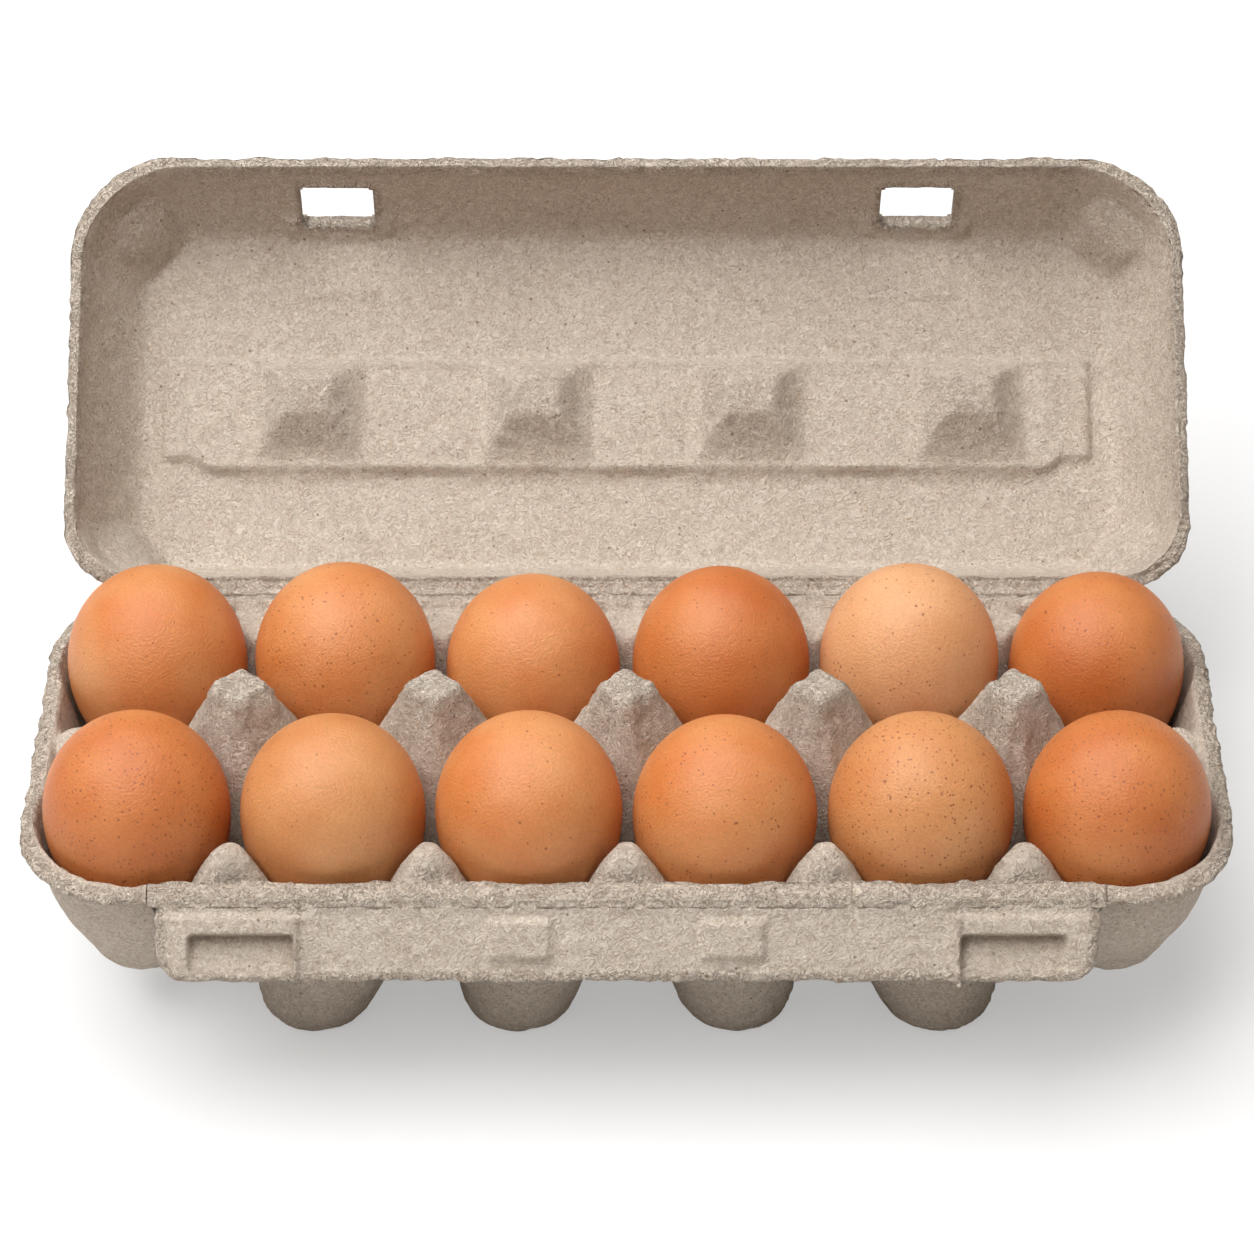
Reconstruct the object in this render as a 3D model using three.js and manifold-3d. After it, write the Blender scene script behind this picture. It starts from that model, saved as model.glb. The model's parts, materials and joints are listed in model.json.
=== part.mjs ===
// Egg carton of moulded paper pulp with twelve eggs: a tray of cups, a hinged lid and a hinged lock flap.
// Millimetres, +Z up. X runs along the carton, the lid is hinged at the back (+Y), the flap at the front.
import * as THREE from 'three';
import { mergeVertices } from 'three/addons/utils/BufferGeometryUtils.js';
import Module from 'manifold-3d';

const wasm = await Module();
wasm.setup();

// Cup grid and rim
const CUPS_PER_ROW = 6;
const PITCH_X = 48;
const PITCH_Y = 56;
const RIM_Z = 60;
const PULP = 2.2;
const SEAT_GAP = 1.1;

// Bowl of one cup: a flat floor, a steep cone that carries the egg, and a flare above the rim
const CONE_R0 = 11.3;
const CONE_DRAFT = 0.227;
const MOUTH_R = CONE_R0 + CONE_DRAFT * RIM_Z;
const FLARE_SLOPE = 2.2;
const FLOOR_BLEND = 12;
const FLOOR_R = 8.9;
const END_FLOOR_R = 6;
const END_CUP_LIFT = 14;
const END_CUP_TAPER = { belowZ: 36, slope: 1.9 };

// Below SPLAY_TOP each foot spreads outwards from its cup: how far, from the middle cups to the end cups
const FOOT_SHIFT = { x: [3.5, 7, 2.5], y: [4.8, 4.8, 0] };
const SPLAY_TOP = 35;

// Ridges and posts between the cups
const SADDLE_Z = RIM_Z - 22;
const POST_SLOPE = 2.15;
const CENTRE_POST = { rise: 17, radius: 5 };
const FRONT_POST = { rise: 5.6, radius: 4.2, y: -46.1 };
const BACK_POST = { rise: 0, radius: 5, y: 46 };
const SIDE_POST = { rise: -1, radius: 4, x: 138 };
const WALL = { halfX: 143.6, halfY: 51, radius: 20, slope: 4 };

// Outline of the rim: the front edge steps back where the flap is hinged
const TRAY_HALF_X = 148;
const TRAY_BACK_Y = 56;
const TRAY_FRONT_Y = -58.2;
const RECESS_Y = -54;
const RECESS_HALF_X = 114.6;
const RIM_CORNER_R = 26;

// Lid, measured from its hinge line: y back from the axis is negative, depth is upwards when shut
const LID_HALF_X = 147.9;
const LID_LENGTH = 117.8;
const LID_DEPTH = 28;
const LID_HINGE = { y: TRAY_BACK_Y + 0.5, z: RIM_Z + 0.2 };
const LID_START = 0.5;
const LID_LIFT = 0.2;
const LID_CORNER_R = { front: 27, hinge: 18 };
const LID_LEAN_DEG = 53;
const LID_FLANGE = { side: 3, front: 3, hinge: 3 };
const LID_DRAFT = { side: 0.48, front: 0.38, hinge: 0.31 };
const LID_WALL_BOW = 0.45;
const RIB = { from: 39, to: 70, rise: 2.4, run: 1.5 };
const PYRAMIDS = { x: [-86, -24.5, 33, 92], y: 57.4, rise: 10, halfX: 6.4, halfY: 5 };
const PYRAMID_SLOPE = { side: 0.78, hinge: 0.7, front: 1.2 };

// A stub stands in each corner, wide along the corner's cut, its end face a ramp that clears the eggs
const STUBS = [
  { x: 131.2, away: 102.5, depth: 14.4, lean: 1 },
  { x: 133.5, away: 13.4, depth: 15.4, lean: -1 },
];
const STUB = { radius: 4, halfLength: 4.5, ramp: 1.15, slope: 2.1 };
const WINDOW = { x: 78.5, width: 19.8, low: 9.3, high: 22.6 };

// Flap, measured from its hinge line
const FLAP_HALF_X = 113.4;
const FLAP_LENGTH = 20.2;
const FLAP_START = 0.4;
const FLAP_TAPER = 1.2;
const FLAP_CORNER_R = 6;
const FLAP_HINGE = { y: RECESS_Y - 2.2, z: RIM_Z - 1.1 };
const FLAP_HANG_DEG = 50;
const END_BLOCK = { inner: 78.6, rise: 1.5, from: 4.2, endSlope: 0.6, slope: 1.5 };
const POCKET = { inner: 80, outer: 105, from: 9.2, to: 18.2, drop: 1, wall: 1.4 };
const BUMP = { inner: 17, outer: 34, from: 4.4, to: 16.2, rise: 1.5, slope: 1.6 };

// Eggs, blunt end up: diameter and length of each, back row first, from left to right
const EGG_SIZES = [
  [45.6, 57.6], [45.8, 58.2], [44.4, 57.2], [45.2, 58.6], [45.6, 58.4], [44.6, 57.6],
  [45.9, 57.6], [45.4, 57.8], [45.9, 57.4], [45.2, 58.0], [45.7, 57.6], [45.9, 57.2],
];
const EGG_BLUNTNESS = 0.1;
const EGG_SIDES = 16;
const EGG_RINGS = 9;

const smoothMax = (a, b, width) => {
  const share = Math.max(width - Math.abs(a - b), 0) / width;
  return Math.max(a, b) + (share * share * width) / 4;
};
const smoothMin = (a, b, width) => -smoothMax(-a, -b, width);
const range = (count) => Array.from({ length: count }, (_, index) => index);
const radians = THREE.MathUtils.degToRad;

// How far a point lies inside a rectangle with round corners, negative when outside
function insetFrom(x, y, halfX, halfY, radius) {
  const across = Math.abs(x) - (halfX - radius);
  const deep = Math.abs(y) - (halfY - radius);
  const outside = Math.hypot(Math.max(across, 0), Math.max(deep, 0));
  return radius - outside - Math.min(Math.max(across, deep), 0);
}

// A closed outline of straight runs and quarter circles
function roundedPath(corners) {
  const path = new THREE.Path();
  corners.forEach(({ x, y, radius }, index) => {
    const before = corners[(index + corners.length - 1) % corners.length];
    const after = corners[(index + 1) % corners.length];
    const here = new THREE.Vector2(x, y);
    const from = new THREE.Vector2(before.x, before.y).sub(here).setLength(radius).add(here);
    const to = new THREE.Vector2(after.x, after.y).sub(here).setLength(radius).add(here);
    if (index === 0) path.moveTo(from.x, from.y);
    else path.lineTo(from.x, from.y);
    path.bezierCurveTo(...roundControl(from, here), ...roundControl(to, here), to.x, to.y);
  });
  path.closePath();
  return path.curves;
}

// Points round an outline; outlines that share a guide get the same number of points on each run
function outlinePoints(corners, spacing, guide = corners) {
  const lengths = roundedPath(guide).map((curve) => curve.getLength());
  return roundedPath(corners).flatMap((curve, run) => {
    const steps = Math.max(1, Math.ceil(lengths[run] / spacing));
    return range(steps).map((step) => curve.getPointAt(step / steps).toArray());
  });
}

// A Bezier control point that makes a quarter circle between two tangent points
function roundControl(tangent, corner) {
  const quarterCircle = 0.5523;
  return tangent.clone().lerp(corner, quarterCircle).toArray();
}

// Tray surface
const cupX = (column) => (column - (CUPS_PER_ROW - 1) / 2) * PITCH_X;

function cupAt(column, y) {
  const x = cupX(column);
  const fromMiddle = Math.floor(Math.abs(x) / PITCH_X);
  return {
    x,
    y,
    footX: x + Math.sign(x) * FOOT_SHIFT.x[fromMiddle],
    footY: y + Math.sign(y) * FOOT_SHIFT.y[fromMiddle],
    floor: PULP + (fromMiddle === 2 ? END_CUP_LIFT : 0),
    isEnd: fromMiddle === 2,
  };
}

const cups = [PITCH_Y / 2, -PITCH_Y / 2].flatMap((y) =>
  range(CUPS_PER_ROW).map((column) => cupAt(column, y)));
const gapsX = range(CUPS_PER_ROW - 1).map((column) => cupX(column) + PITCH_X / 2);
const postAt = (x, { rise, radius, y = 0 }) => ({ x, y, top: RIM_Z + rise, radius });
const posts = [
  ...[CENTRE_POST, FRONT_POST, BACK_POST].flatMap((post) => gapsX.map((x) => postAt(x, post))),
  ...[-SIDE_POST.x, SIDE_POST.x].map((x) => postAt(x, SIDE_POST)),
];

function nearestCup(x, y) {
  const column = Math.round(x / PITCH_X + (CUPS_PER_ROW - 1) / 2);
  const row = y >= 0 ? 0 : CUPS_PER_ROW;
  return cups[row + THREE.MathUtils.clamp(column, 0, CUPS_PER_ROW - 1)];
}

// Below this radius the end cups narrow faster than the others
const taperR = CONE_R0 + CONE_DRAFT * END_CUP_TAPER.belowZ;

// The middle of a bowl moves from the cup to its foot
const bowlCentre = (cup, splay) => [
  THREE.MathUtils.lerp(cup.x, cup.footX, splay), THREE.MathUtils.lerp(cup.y, cup.footY, splay),
];

function bowlHeight(x, y) {
  const cup = nearestCup(x, y);
  let z = cup.floor;
  for (const _ of range(8)) {
    const [centreX, centreY] = bowlCentre(cup, THREE.MathUtils.clamp(1 - z / SPLAY_TOP, 0, 1));
    const radius = Math.hypot(x - centreX, y - centreY);
    const cone = (radius - CONE_R0) / CONE_DRAFT;
    const taper = END_CUP_TAPER.belowZ - (taperR - radius) * END_CUP_TAPER.slope;
    const flare = RIM_Z + (radius - MOUTH_R) * FLARE_SLOPE;
    const wall = cup.isEnd ? Math.max(cone, taper) : cone;
    z = smoothMax(cup.floor, Math.min(wall, flare), FLOOR_BLEND);
  }
  return z;
}

function ridgeHeight(x, y) {
  const inset = insetFrom(x, y, WALL.halfX, WALL.halfY, WALL.radius);
  let z = smoothMax(SADDLE_Z, RIM_Z - Math.max(0, inset) * WALL.slope, 2);
  for (const post of posts) {
    const away = Math.max(0, Math.hypot(x - post.x, y - post.y) - post.radius);
    z = smoothMax(z, post.top - away * POST_SLOPE, 2);
  }
  return z;
}

const trayTop = (x, y) => smoothMin(bowlHeight(x, y), ridgeHeight(x, y), 2);

// The far side of a skin of even thickness, below or above a surface
function offsetSurface(surface, side) {
  return (x, y) => {
    let z = side * surface(x, y) + PULP;
    for (const share of [0.5, 0.8, 0.95]) {
      const reach = share * PULP;
      const rise = Math.sqrt(PULP * PULP - reach * reach);
      for (const turn of range(8)) {
        const angle = (turn * Math.PI) / 4;
        z = Math.max(z, side * surface(x + reach * Math.cos(angle), y + reach * Math.sin(angle)) + rise);
      }
    }
    return side * z;
  };
}

// Delaunay triangles over a set of points, each counter-clockwise
function triangulate(points) {
  const far = 4000;
  const all = [...points, [-far, -far], [far, -far], [0, far]];
  const count = points.length;
  let triangles = [circled(all, count, count + 1, count + 2)];
  points.forEach(([x, y], index) => {
    const rim = new Map();
    const kept = [];
    for (const triangle of triangles) {
      const { corners, centreX, centreY, radiusSquared } = triangle;
      if ((x - centreX) ** 2 + (y - centreY) ** 2 >= radiusSquared) {
        kept.push(triangle);
        continue;
      }
      corners.forEach((a, side) => {
        const b = corners[(side + 1) % 3];
        if (!rim.delete(`${b},${a}`)) rim.set(`${a},${b}`, [a, b]);
      });
    }
    for (const [a, b] of rim.values()) kept.push(circled(all, a, b, index));
    triangles = kept;
  });
  return triangles.map(({ corners }) => corners).filter((corners) => Math.max(...corners) < count);
}

function circled(all, a, b, c) {
  const [ax, ay] = all[a];
  const [bx, by] = [all[b][0] - ax, all[b][1] - ay];
  const [cx, cy] = [all[c][0] - ax, all[c][1] - ay];
  const double = 2 * (bx * cy - by * cx);
  const x = (cy * (bx * bx + by * by) - by * (cx * cx + cy * cy)) / double;
  const y = (bx * (cx * cx + cy * cy) - cx * (bx * bx + by * by)) / double;
  const corners = double > 0 ? [a, b, c] : [a, c, b];
  return { corners, centreX: ax + x, centreY: ay + y, radiusSquared: x * x + y * y };
}

// Keeps the first of any points that lie too close together, and shifts each by a hair
// so that no four share one circle
function spreadPoints(points, spacing, fixedCount) {
  const kept = [];
  points.forEach(([x, y], index) => {
    if (kept.some(([otherX, otherY]) => Math.hypot(x - otherX, y - otherY) < spacing)) return;
    const shift = index < fixedCount ? 0 : 0.02;
    kept.push([x + shift * Math.sin(index * 12.9), y + shift * Math.cos(index * 7.3)]);
  });
  return kept;
}

// A closed body between two height surfaces over the same points
function sheetGeometry(points, isInside, upper, lower) {
  const middle = (corners, axis) => corners.reduce((sum, corner) => sum + points[corner][axis] / 3, 0);
  const triangles = triangulate(points).filter((corners) => isInside(middle(corners, 0), middle(corners, 1)));
  const count = points.length;
  const positions = [upper, lower].flatMap((surface) => points.flatMap(([x, y]) => [x, y, surface(x, y)]));
  const edges = new Set(triangles.flatMap(([a, b, c]) => [`${a},${b}`, `${b},${c}`, `${c},${a}`]));
  const faces = triangles.flatMap(([a, b, c]) => [a, b, c, a + count, c + count, b + count]);
  for (const edge of edges) {
    const [a, b] = edge.split(',').map(Number);
    if (edges.has(`${b},${a}`)) continue;
    faces.push(a + count, b + count, b, a + count, b, a);
  }
  const geometry = new THREE.BufferGeometry();
  geometry.setAttribute('position', new THREE.Float32BufferAttribute(positions, 3));
  geometry.setIndex(faces);
  return geometry;
}

function ring(x, y, radius, count, phase = 0) {
  return range(count).map((step) => {
    const angle = ((step + phase) * 2 * Math.PI) / count;
    return [x + radius * Math.cos(angle), y + radius * Math.sin(angle)];
  });
}

// Where the bowl of a cup meets the ridge round it, in one direction from the cup's centre
function bowlEdge(cup, angle) {
  const at = (radius) => [cup.x + radius * Math.cos(angle), cup.y + radius * Math.sin(angle)];
  let [low, high] = [12, 36];
  for (const _ of range(20)) {
    const middle = (low + high) / 2;
    const [x, y] = at(middle);
    if (nearestCup(x, y) === cup && bowlHeight(x, y) < ridgeHeight(x, y)) low = middle;
    else high = middle;
  }
  return at(low);
}

// Corners of a box about X = 0 with its own radius at each end of Y
function boxCorners(halfX, frontY, backY, frontRadius, backRadius) {
  return [
    { x: halfX, y: frontY, radius: frontRadius },
    { x: halfX, y: backY, radius: backRadius },
    { x: -halfX, y: backY, radius: backRadius },
    { x: -halfX, y: frontY, radius: frontRadius },
  ];
}

function trayOutline() {
  const sharp = 0.01;
  return outlinePoints([
    ...boxCorners(TRAY_HALF_X, TRAY_FRONT_Y, TRAY_BACK_Y, RIM_CORNER_R, RIM_CORNER_R),
    { x: -RECESS_HALF_X, y: TRAY_FRONT_Y, radius: sharp },
    { x: -RECESS_HALF_X, y: RECESS_Y, radius: sharp },
    { x: RECESS_HALF_X, y: RECESS_Y, radius: sharp },
    { x: RECESS_HALF_X, y: TRAY_FRONT_Y, radius: sharp },
  ], 8);
}

function trayGeometry() {
  const rim = spreadPoints(trayOutline(), 0.5, 1e4);
  const edgeDirections = 20;
  const halfway = { splay: 0.6, radius: 14.6 };
  const points = cups.flatMap((cup) => [
    bowlCentre(cup, 1),
    ...ring(...bowlCentre(cup, 1), cup.isEnd ? END_FLOOR_R : FLOOR_R, 12),
    ...ring(...bowlCentre(cup, halfway.splay), halfway.radius, 16),
    ...range(edgeDirections).map((step) => bowlEdge(cup, (step * 2 * Math.PI) / edgeDirections)),
  ]);
  const postFoot = 5;
  const postPoints = posts.flatMap(({ x, y, radius }) => [
    [x, y], ...ring(x, y, radius, 8, 0.5), ...ring(x, y, radius + postFoot, 8),
  ]);
  const wallLines = [0, 2.5].flatMap((inset) => outlinePoints(
    boxCorners(WALL.halfX - inset, -WALL.halfY + inset, WALL.halfY - inset, WALL.radius, WALL.radius), 6));
  const saddles = gapsX.flatMap((x) => [[x, PITCH_Y / 2], [x, -PITCH_Y / 2]]);
  const isRidge = ([x, y]) => bowlHeight(x, y) > ridgeHeight(x, y) - 0.5;
  const isOnRim = ([x, y]) => insetFrom(x, y, TRAY_HALF_X - 1.5, -RECESS_Y - 1.2, RIM_CORNER_R) > 0;
  const ridgePoints = [...postPoints, ...saddles, ...wallLines].filter(isRidge);
  const inner = [...points, ...ridgePoints].filter(isOnRim);
  const isInside = (x, y) => y > RECESS_Y || Math.abs(x) > RECESS_HALF_X;
  const all = spreadPoints([...rim, ...inner], 1.6, rim.length);
  return sheetGeometry(all, isInside, trayTop, offsetSurface(trayTop, -1));
}

// Lid, shut: depth of its inner face above the hinge line
const lidMiddle = LID_START + LID_LENGTH / 2;

// The wall's outline at one depth: it draws in from the flange by a draft of its own on each side,
// steeper near the rim than near the roof
function lidOutline(depth, flangeShare = 1) {
  const bowed = depth * (LID_WALL_BOW + (1 - LID_WALL_BOW) * (depth / LID_DEPTH));
  const inset = (side) => LID_FLANGE[side] * flangeShare + LID_DRAFT[side] * bowed;
  return {
    halfX: LID_HALF_X - inset('side'),
    front: -(LID_START + LID_LENGTH - inset('front')),
    back: -(LID_START + inset('hinge')),
    frontRadius: LID_CORNER_R.front - 0.3 * depth,
    backRadius: LID_CORNER_R.hinge - 0.2 * depth,
  };
}

function lidWall(x, y) {
  let [low, high] = [0, 2 * LID_DEPTH];
  for (const _ of range(12)) {
    const depth = (low + high) / 2;
    const { halfX, front, back, frontRadius, backRadius } = lidOutline(depth);
    const middle = (front + back) / 2;
    const radius = y < middle ? frontRadius : backRadius;
    if (insetFrom(x, y - middle, halfX, (back - front) / 2, radius) > 0) low = depth;
    else high = depth;
  }
  return low;
}

// Depth of a stub's face at a point measured from the stub's middle
function stubDepth({ depth, lean }, across, along) {
  const { radius, halfLength, ramp, slope } = STUB;
  const place = THREE.MathUtils.clamp((along * lean - across) * Math.SQRT1_2, -halfLength, halfLength);
  const distance = Math.hypot(across + place * Math.SQRT1_2, along - place * lean * Math.SQRT1_2);
  const inwards = THREE.MathUtils.clamp(-(across + along * lean) * Math.SQRT1_2, -radius, radius);
  return depth + inwards * ramp + Math.max(0, distance - radius) * slope;
}

// Points round a stub at one distance from its line
function stubRing({ x, away, lean }, side, distance, count) {
  return ring(0, 0, distance, count, 0.5).map(([across, along]) => {
    const end = Math.sign(along * lean - across) * STUB.halfLength * Math.SQRT1_2;
    return [side * (x + across - end), -(away + along + end * lean)];
  });
}

function lidInner(x, y) {
  const away = -y;
  const ridge = RIB.rise * THREE.MathUtils.clamp(Math.min(away - RIB.from, RIB.to - away) / RIB.run, 0, 1);
  let roof = LID_DEPTH - ridge;
  for (const centre of PYRAMIDS.x) {
    const side = (Math.abs(x - centre) - PYRAMIDS.halfX) * PYRAMID_SLOPE.side;
    const hinge = (PYRAMIDS.y - PYRAMIDS.halfY - away) * PYRAMID_SLOPE.hinge;
    const front = (away - PYRAMIDS.y - PYRAMIDS.halfY) * PYRAMID_SLOPE.front;
    roof = Math.min(roof, LID_DEPTH - PYRAMIDS.rise + Math.max(side, hinge, front, 0));
  }
  for (const stub of STUBS) {
    roof = smoothMin(roof, stubDepth(stub, Math.abs(x) - stub.x, away - stub.away), 3);
  }
  const wall = lidWall(x, y);
  return LID_LIFT + Math.max(0, smoothMin(roof, wall, 6));
}

function lidGeometry() {
  const corners = (depth, flangeShare) => {
    const { halfX, front, back, frontRadius, backRadius } = lidOutline(depth, flangeShare);
    return boxCorners(halfX, front, back, frontRadius, backRadius);
  };
  const loop = (depth, flangeShare) => outlinePoints(corners(depth, flangeShare), 9, corners(0, 0));
  const rim = spreadPoints(loop(0, 0), 0.5, 1e4);
  const levels = [[0, 0.4], [0, 1], [0.5, 1], [0.85, 1], [1.02, 1]];
  const wallLoops = levels.flatMap(([depthShare, flangeShare]) => loop(LID_DEPTH * depthShare, flangeShare));
  const stubFoot = 7;
  const stubs = [-1, 1].flatMap((side) => STUBS.flatMap((stub) => [
    ...stubRing(stub, side, STUB.radius, 10), ...stubRing(stub, side, STUB.radius + stubFoot, 10),
  ]));
  const pyramids = PYRAMIDS.x.flatMap((centre) => {
    const tier = (drop) => [-1, 1].flatMap((side) => {
      const x = centre + side * (PYRAMIDS.halfX + drop / PYRAMID_SLOPE.side);
      const near = PYRAMIDS.y - PYRAMIDS.halfY - drop / PYRAMID_SLOPE.hinge;
      const far = PYRAMIDS.y + PYRAMIDS.halfY + drop / PYRAMID_SLOPE.front;
      return [[x, -near], [x, -far]];
    });
    return [...tier(0), ...tier(PYRAMIDS.rise - RIB.rise), ...tier(PYRAMIDS.rise)];
  });
  const ribHalfX = 120;
  const ribs = [RIB.from, RIB.from + RIB.run, RIB.to - RIB.run, RIB.to].flatMap((away) =>
    range(13).map((step) => [(step / 6 - 1) * ribHalfX, -away]));
  const isInner = ([x, y]) =>
    insetFrom(x, y + lidMiddle, LID_HALF_X - 2, LID_LENGTH / 2 - 2, LID_CORNER_R.hinge) > 0;
  const inner = [...pyramids, ...stubs, ...ribs, ...wallLoops].filter(isInner);
  const all = spreadPoints([...rim, ...inner], 1.3, rim.length);
  const shell = toManifold(sheetGeometry(all, () => true, offsetSurface(lidInner, 1), lidInner));
  const cutters = [-WINDOW.x, WINDOW.x].map((x) => {
    const box = new THREE.BoxGeometry(WINDOW.width, 30, WINDOW.high - WINDOW.low);
    return toManifold(box.translate(x, -LID_LENGTH, (WINDOW.high + WINDOW.low) / 2));
  });
  return fromManifold(cutters.reduce((body, cutter) => body.subtract(cutter), shell));
}

// Closed meshes to solids and back
function toManifold(geometry) {
  const plain = geometry.clone();
  plain.deleteAttribute('normal');
  plain.deleteAttribute('uv');
  const merged = mergeVertices(plain, 1e-4);
  return new wasm.Manifold(new wasm.Mesh({
    numProp: 3,
    vertProperties: new Float32Array(merged.attributes.position.array),
    triVerts: new Uint32Array(merged.index.array),
  }));
}

function fromManifold(solid) {
  const { vertProperties, triVerts } = solid.getMesh();
  const geometry = new THREE.BufferGeometry();
  geometry.setAttribute('position', new THREE.Float32BufferAttribute(vertProperties, 3));
  geometry.setIndex([...triVerts]);
  return geometry;
}

// Flap, held level: height of its inner face and of its outer face
function flapInner(x, y) {
  const across = Math.abs(x);
  const away = -y;
  if (across > POCKET.inner && across < POCKET.outer && away > POCKET.from && away < POCKET.to) {
    return -POCKET.drop;
  }
  const block = Math.min(across - END_BLOCK.inner, (away - END_BLOCK.from) * END_BLOCK.endSlope);
  const slope = Math.min(across - BUMP.inner, BUMP.outer - across, away - BUMP.from, BUMP.to - away);
  const bump = Math.min(BUMP.rise, slope / BUMP.slope);
  return Math.max(0, bump, Math.min(END_BLOCK.rise, block * END_BLOCK.slope));
}

function flapOuter(x, y) {
  const across = Math.abs(x);
  const away = -y;
  const isBehindPocket = across > POCKET.inner - POCKET.wall && across < POCKET.outer + POCKET.wall;
  return -PULP - (isBehindPocket && away > POCKET.from - POCKET.wall ? POCKET.drop : 0);
}

function flapHalfWidth(away) {
  const intoCorner = Math.max(0, away - (FLAP_LENGTH - FLAP_CORNER_R));
  const rounding = FLAP_CORNER_R - Math.sqrt(FLAP_CORNER_R ** 2 - intoCorner ** 2);
  return FLAP_HALF_X - FLAP_TAPER * (away / FLAP_LENGTH) - rounding;
}

function flapGeometry() {
  const step = 0.25;
  const bumpRun = BUMP.rise * BUMP.slope;
  const columns = [
    0, BUMP.inner, BUMP.inner + bumpRun, BUMP.outer - bumpRun, BUMP.outer, 56, END_BLOCK.inner,
    POCKET.inner - step, POCKET.inner + step, (POCKET.inner + POCKET.outer) / 2,
    POCKET.outer - step, POCKET.outer + step,
  ];
  const rows = [
    FLAP_START, 2.4, BUMP.from, END_BLOCK.from + END_BLOCK.rise, POCKET.from - step, POCKET.from + step,
    BUMP.to - bumpRun, BUMP.to, POCKET.to - step, POCKET.to + step, FLAP_LENGTH - 0.8, FLAP_LENGTH,
  ];
  const points = rows.flatMap((away) => {
    const right = [...columns, flapHalfWidth(Math.min(away, FLAP_LENGTH - 0.4))];
    const line = [...right.slice(1).map((x) => -x).reverse(), ...right];
    return line.map((x) => [x, -away]);
  });
  const width = points.length / rows.length;
  const count = points.length;
  const positions = [flapInner, flapOuter].flatMap((face) =>
    points.flatMap(([x, y]) => [x, y, face(x, y) + PULP / 2]));
  const faces = [];
  for (const row of range(rows.length - 1)) {
    for (const column of range(width - 1)) {
      const a = row * width + column;
      const b = a + width;
      faces.push(a, b, b + 1, a, b + 1, a + 1);
      faces.push(a + count, b + count + 1, b + count, a + count, a + count + 1, b + count + 1);
    }
  }
  const border = [
    ...range(width - 1).map((i) => [i + 1, i]),
    ...range(rows.length - 1).map((i) => [i * width, (i + 1) * width]),
    ...range(width - 1).map((i) => [(rows.length - 1) * width + i, (rows.length - 1) * width + i + 1]),
    ...range(rows.length - 1).map((i) => [(i + 2) * width - 1, (i + 1) * width - 1]),
  ];
  for (const [a, b] of border) faces.push(a + count, b + count, b, a + count, b, a);
  const geometry = new THREE.BufferGeometry();
  geometry.setAttribute('position', new THREE.Float32BufferAttribute(positions, 3));
  geometry.setIndex(faces);
  return geometry;
}

// Egg profile: half width at a share of the half length, from -1 at the small end to 1 at the blunt end
function eggRadius(diameter, share) {
  const round = Math.sqrt(Math.max(0, 1 - share * share));
  return ((diameter / 2) * round * (1 + EGG_BLUNTNESS * share)) / (1 + EGG_BLUNTNESS ** 2 / 2);
}

// Height of an egg's middle when it rests in the cone of its cup
function eggSeat(diameter, length) {
  const seats = range(41).map((step) => {
    const share = step / 20 - 1;
    const contact = (eggRadius(diameter, share) + SEAT_GAP - CONE_R0) / CONE_DRAFT;
    return contact - (share * length) / 2;
  });
  return Math.max(...seats);
}

function eggGeometry(diameter, length) {
  const profile = range(EGG_RINGS + 1).map((step) => {
    const share = -Math.cos((Math.PI * step) / EGG_RINGS);
    const isPole = step === 0 || step === EGG_RINGS;
    return new THREE.Vector2(isPole ? 0 : eggRadius(diameter, share), (share * length) / 2);
  });
  return new THREE.LatheGeometry(profile, EGG_SIDES).rotateX(Math.PI / 2);
}

// Assembly
const pulp = () => new THREE.MeshStandardMaterial({ color: 0xb4aa9b, roughness: 0.95, metalness: 0 });
const shell = () => new THREE.MeshStandardMaterial({ color: 0xc88a58, roughness: 0.5, metalness: 0 });

function named(name, geometry, material) {
  const mesh = new THREE.Mesh(geometry, material);
  mesh.name = name;
  return mesh;
}

const carton = new THREE.Group();
carton.add(named('tray', trayGeometry(), pulp()));

EGG_SIZES.forEach(([diameter, length], index) => {
  const egg = named(`egg_${index + 1}`, eggGeometry(diameter, length), shell());
  egg.position.set(cups[index].x, cups[index].y, eggSeat(diameter, length));
  egg.rotation.z = index;
  carton.add(egg);
});

const lid = new THREE.Group();
lid.position.set(0, LID_HINGE.y, LID_HINGE.z);
lid.rotation.x = -radians(90 + LID_LEAN_DEG);
lid.add(named('lid', lidGeometry(), pulp()));
carton.add(lid);

const flap = new THREE.Group();
flap.position.set(0, FLAP_HINGE.y, FLAP_HINGE.z);
flap.rotation.x = radians(FLAP_HANG_DEG);
flap.add(named('flap', flapGeometry(), pulp()));
carton.add(flap);

// The origin is the middle of the whole object's box, at the surface it stands on
const box = new THREE.Box3().setFromObject(carton, true);
carton.position.y = -(box.min.y + box.max.y) / 2;
const part = new THREE.Group();
part.add(carton);

export default part;
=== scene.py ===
# The looks of the egg carton: moulded pulp tray, lid and flap, and twelve brown eggs.
# Shapes are worked out in millimetres in each part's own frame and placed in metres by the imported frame.
import json
import math

import bpy
import numpy as np
from mathutils import Matrix, Vector


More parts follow.
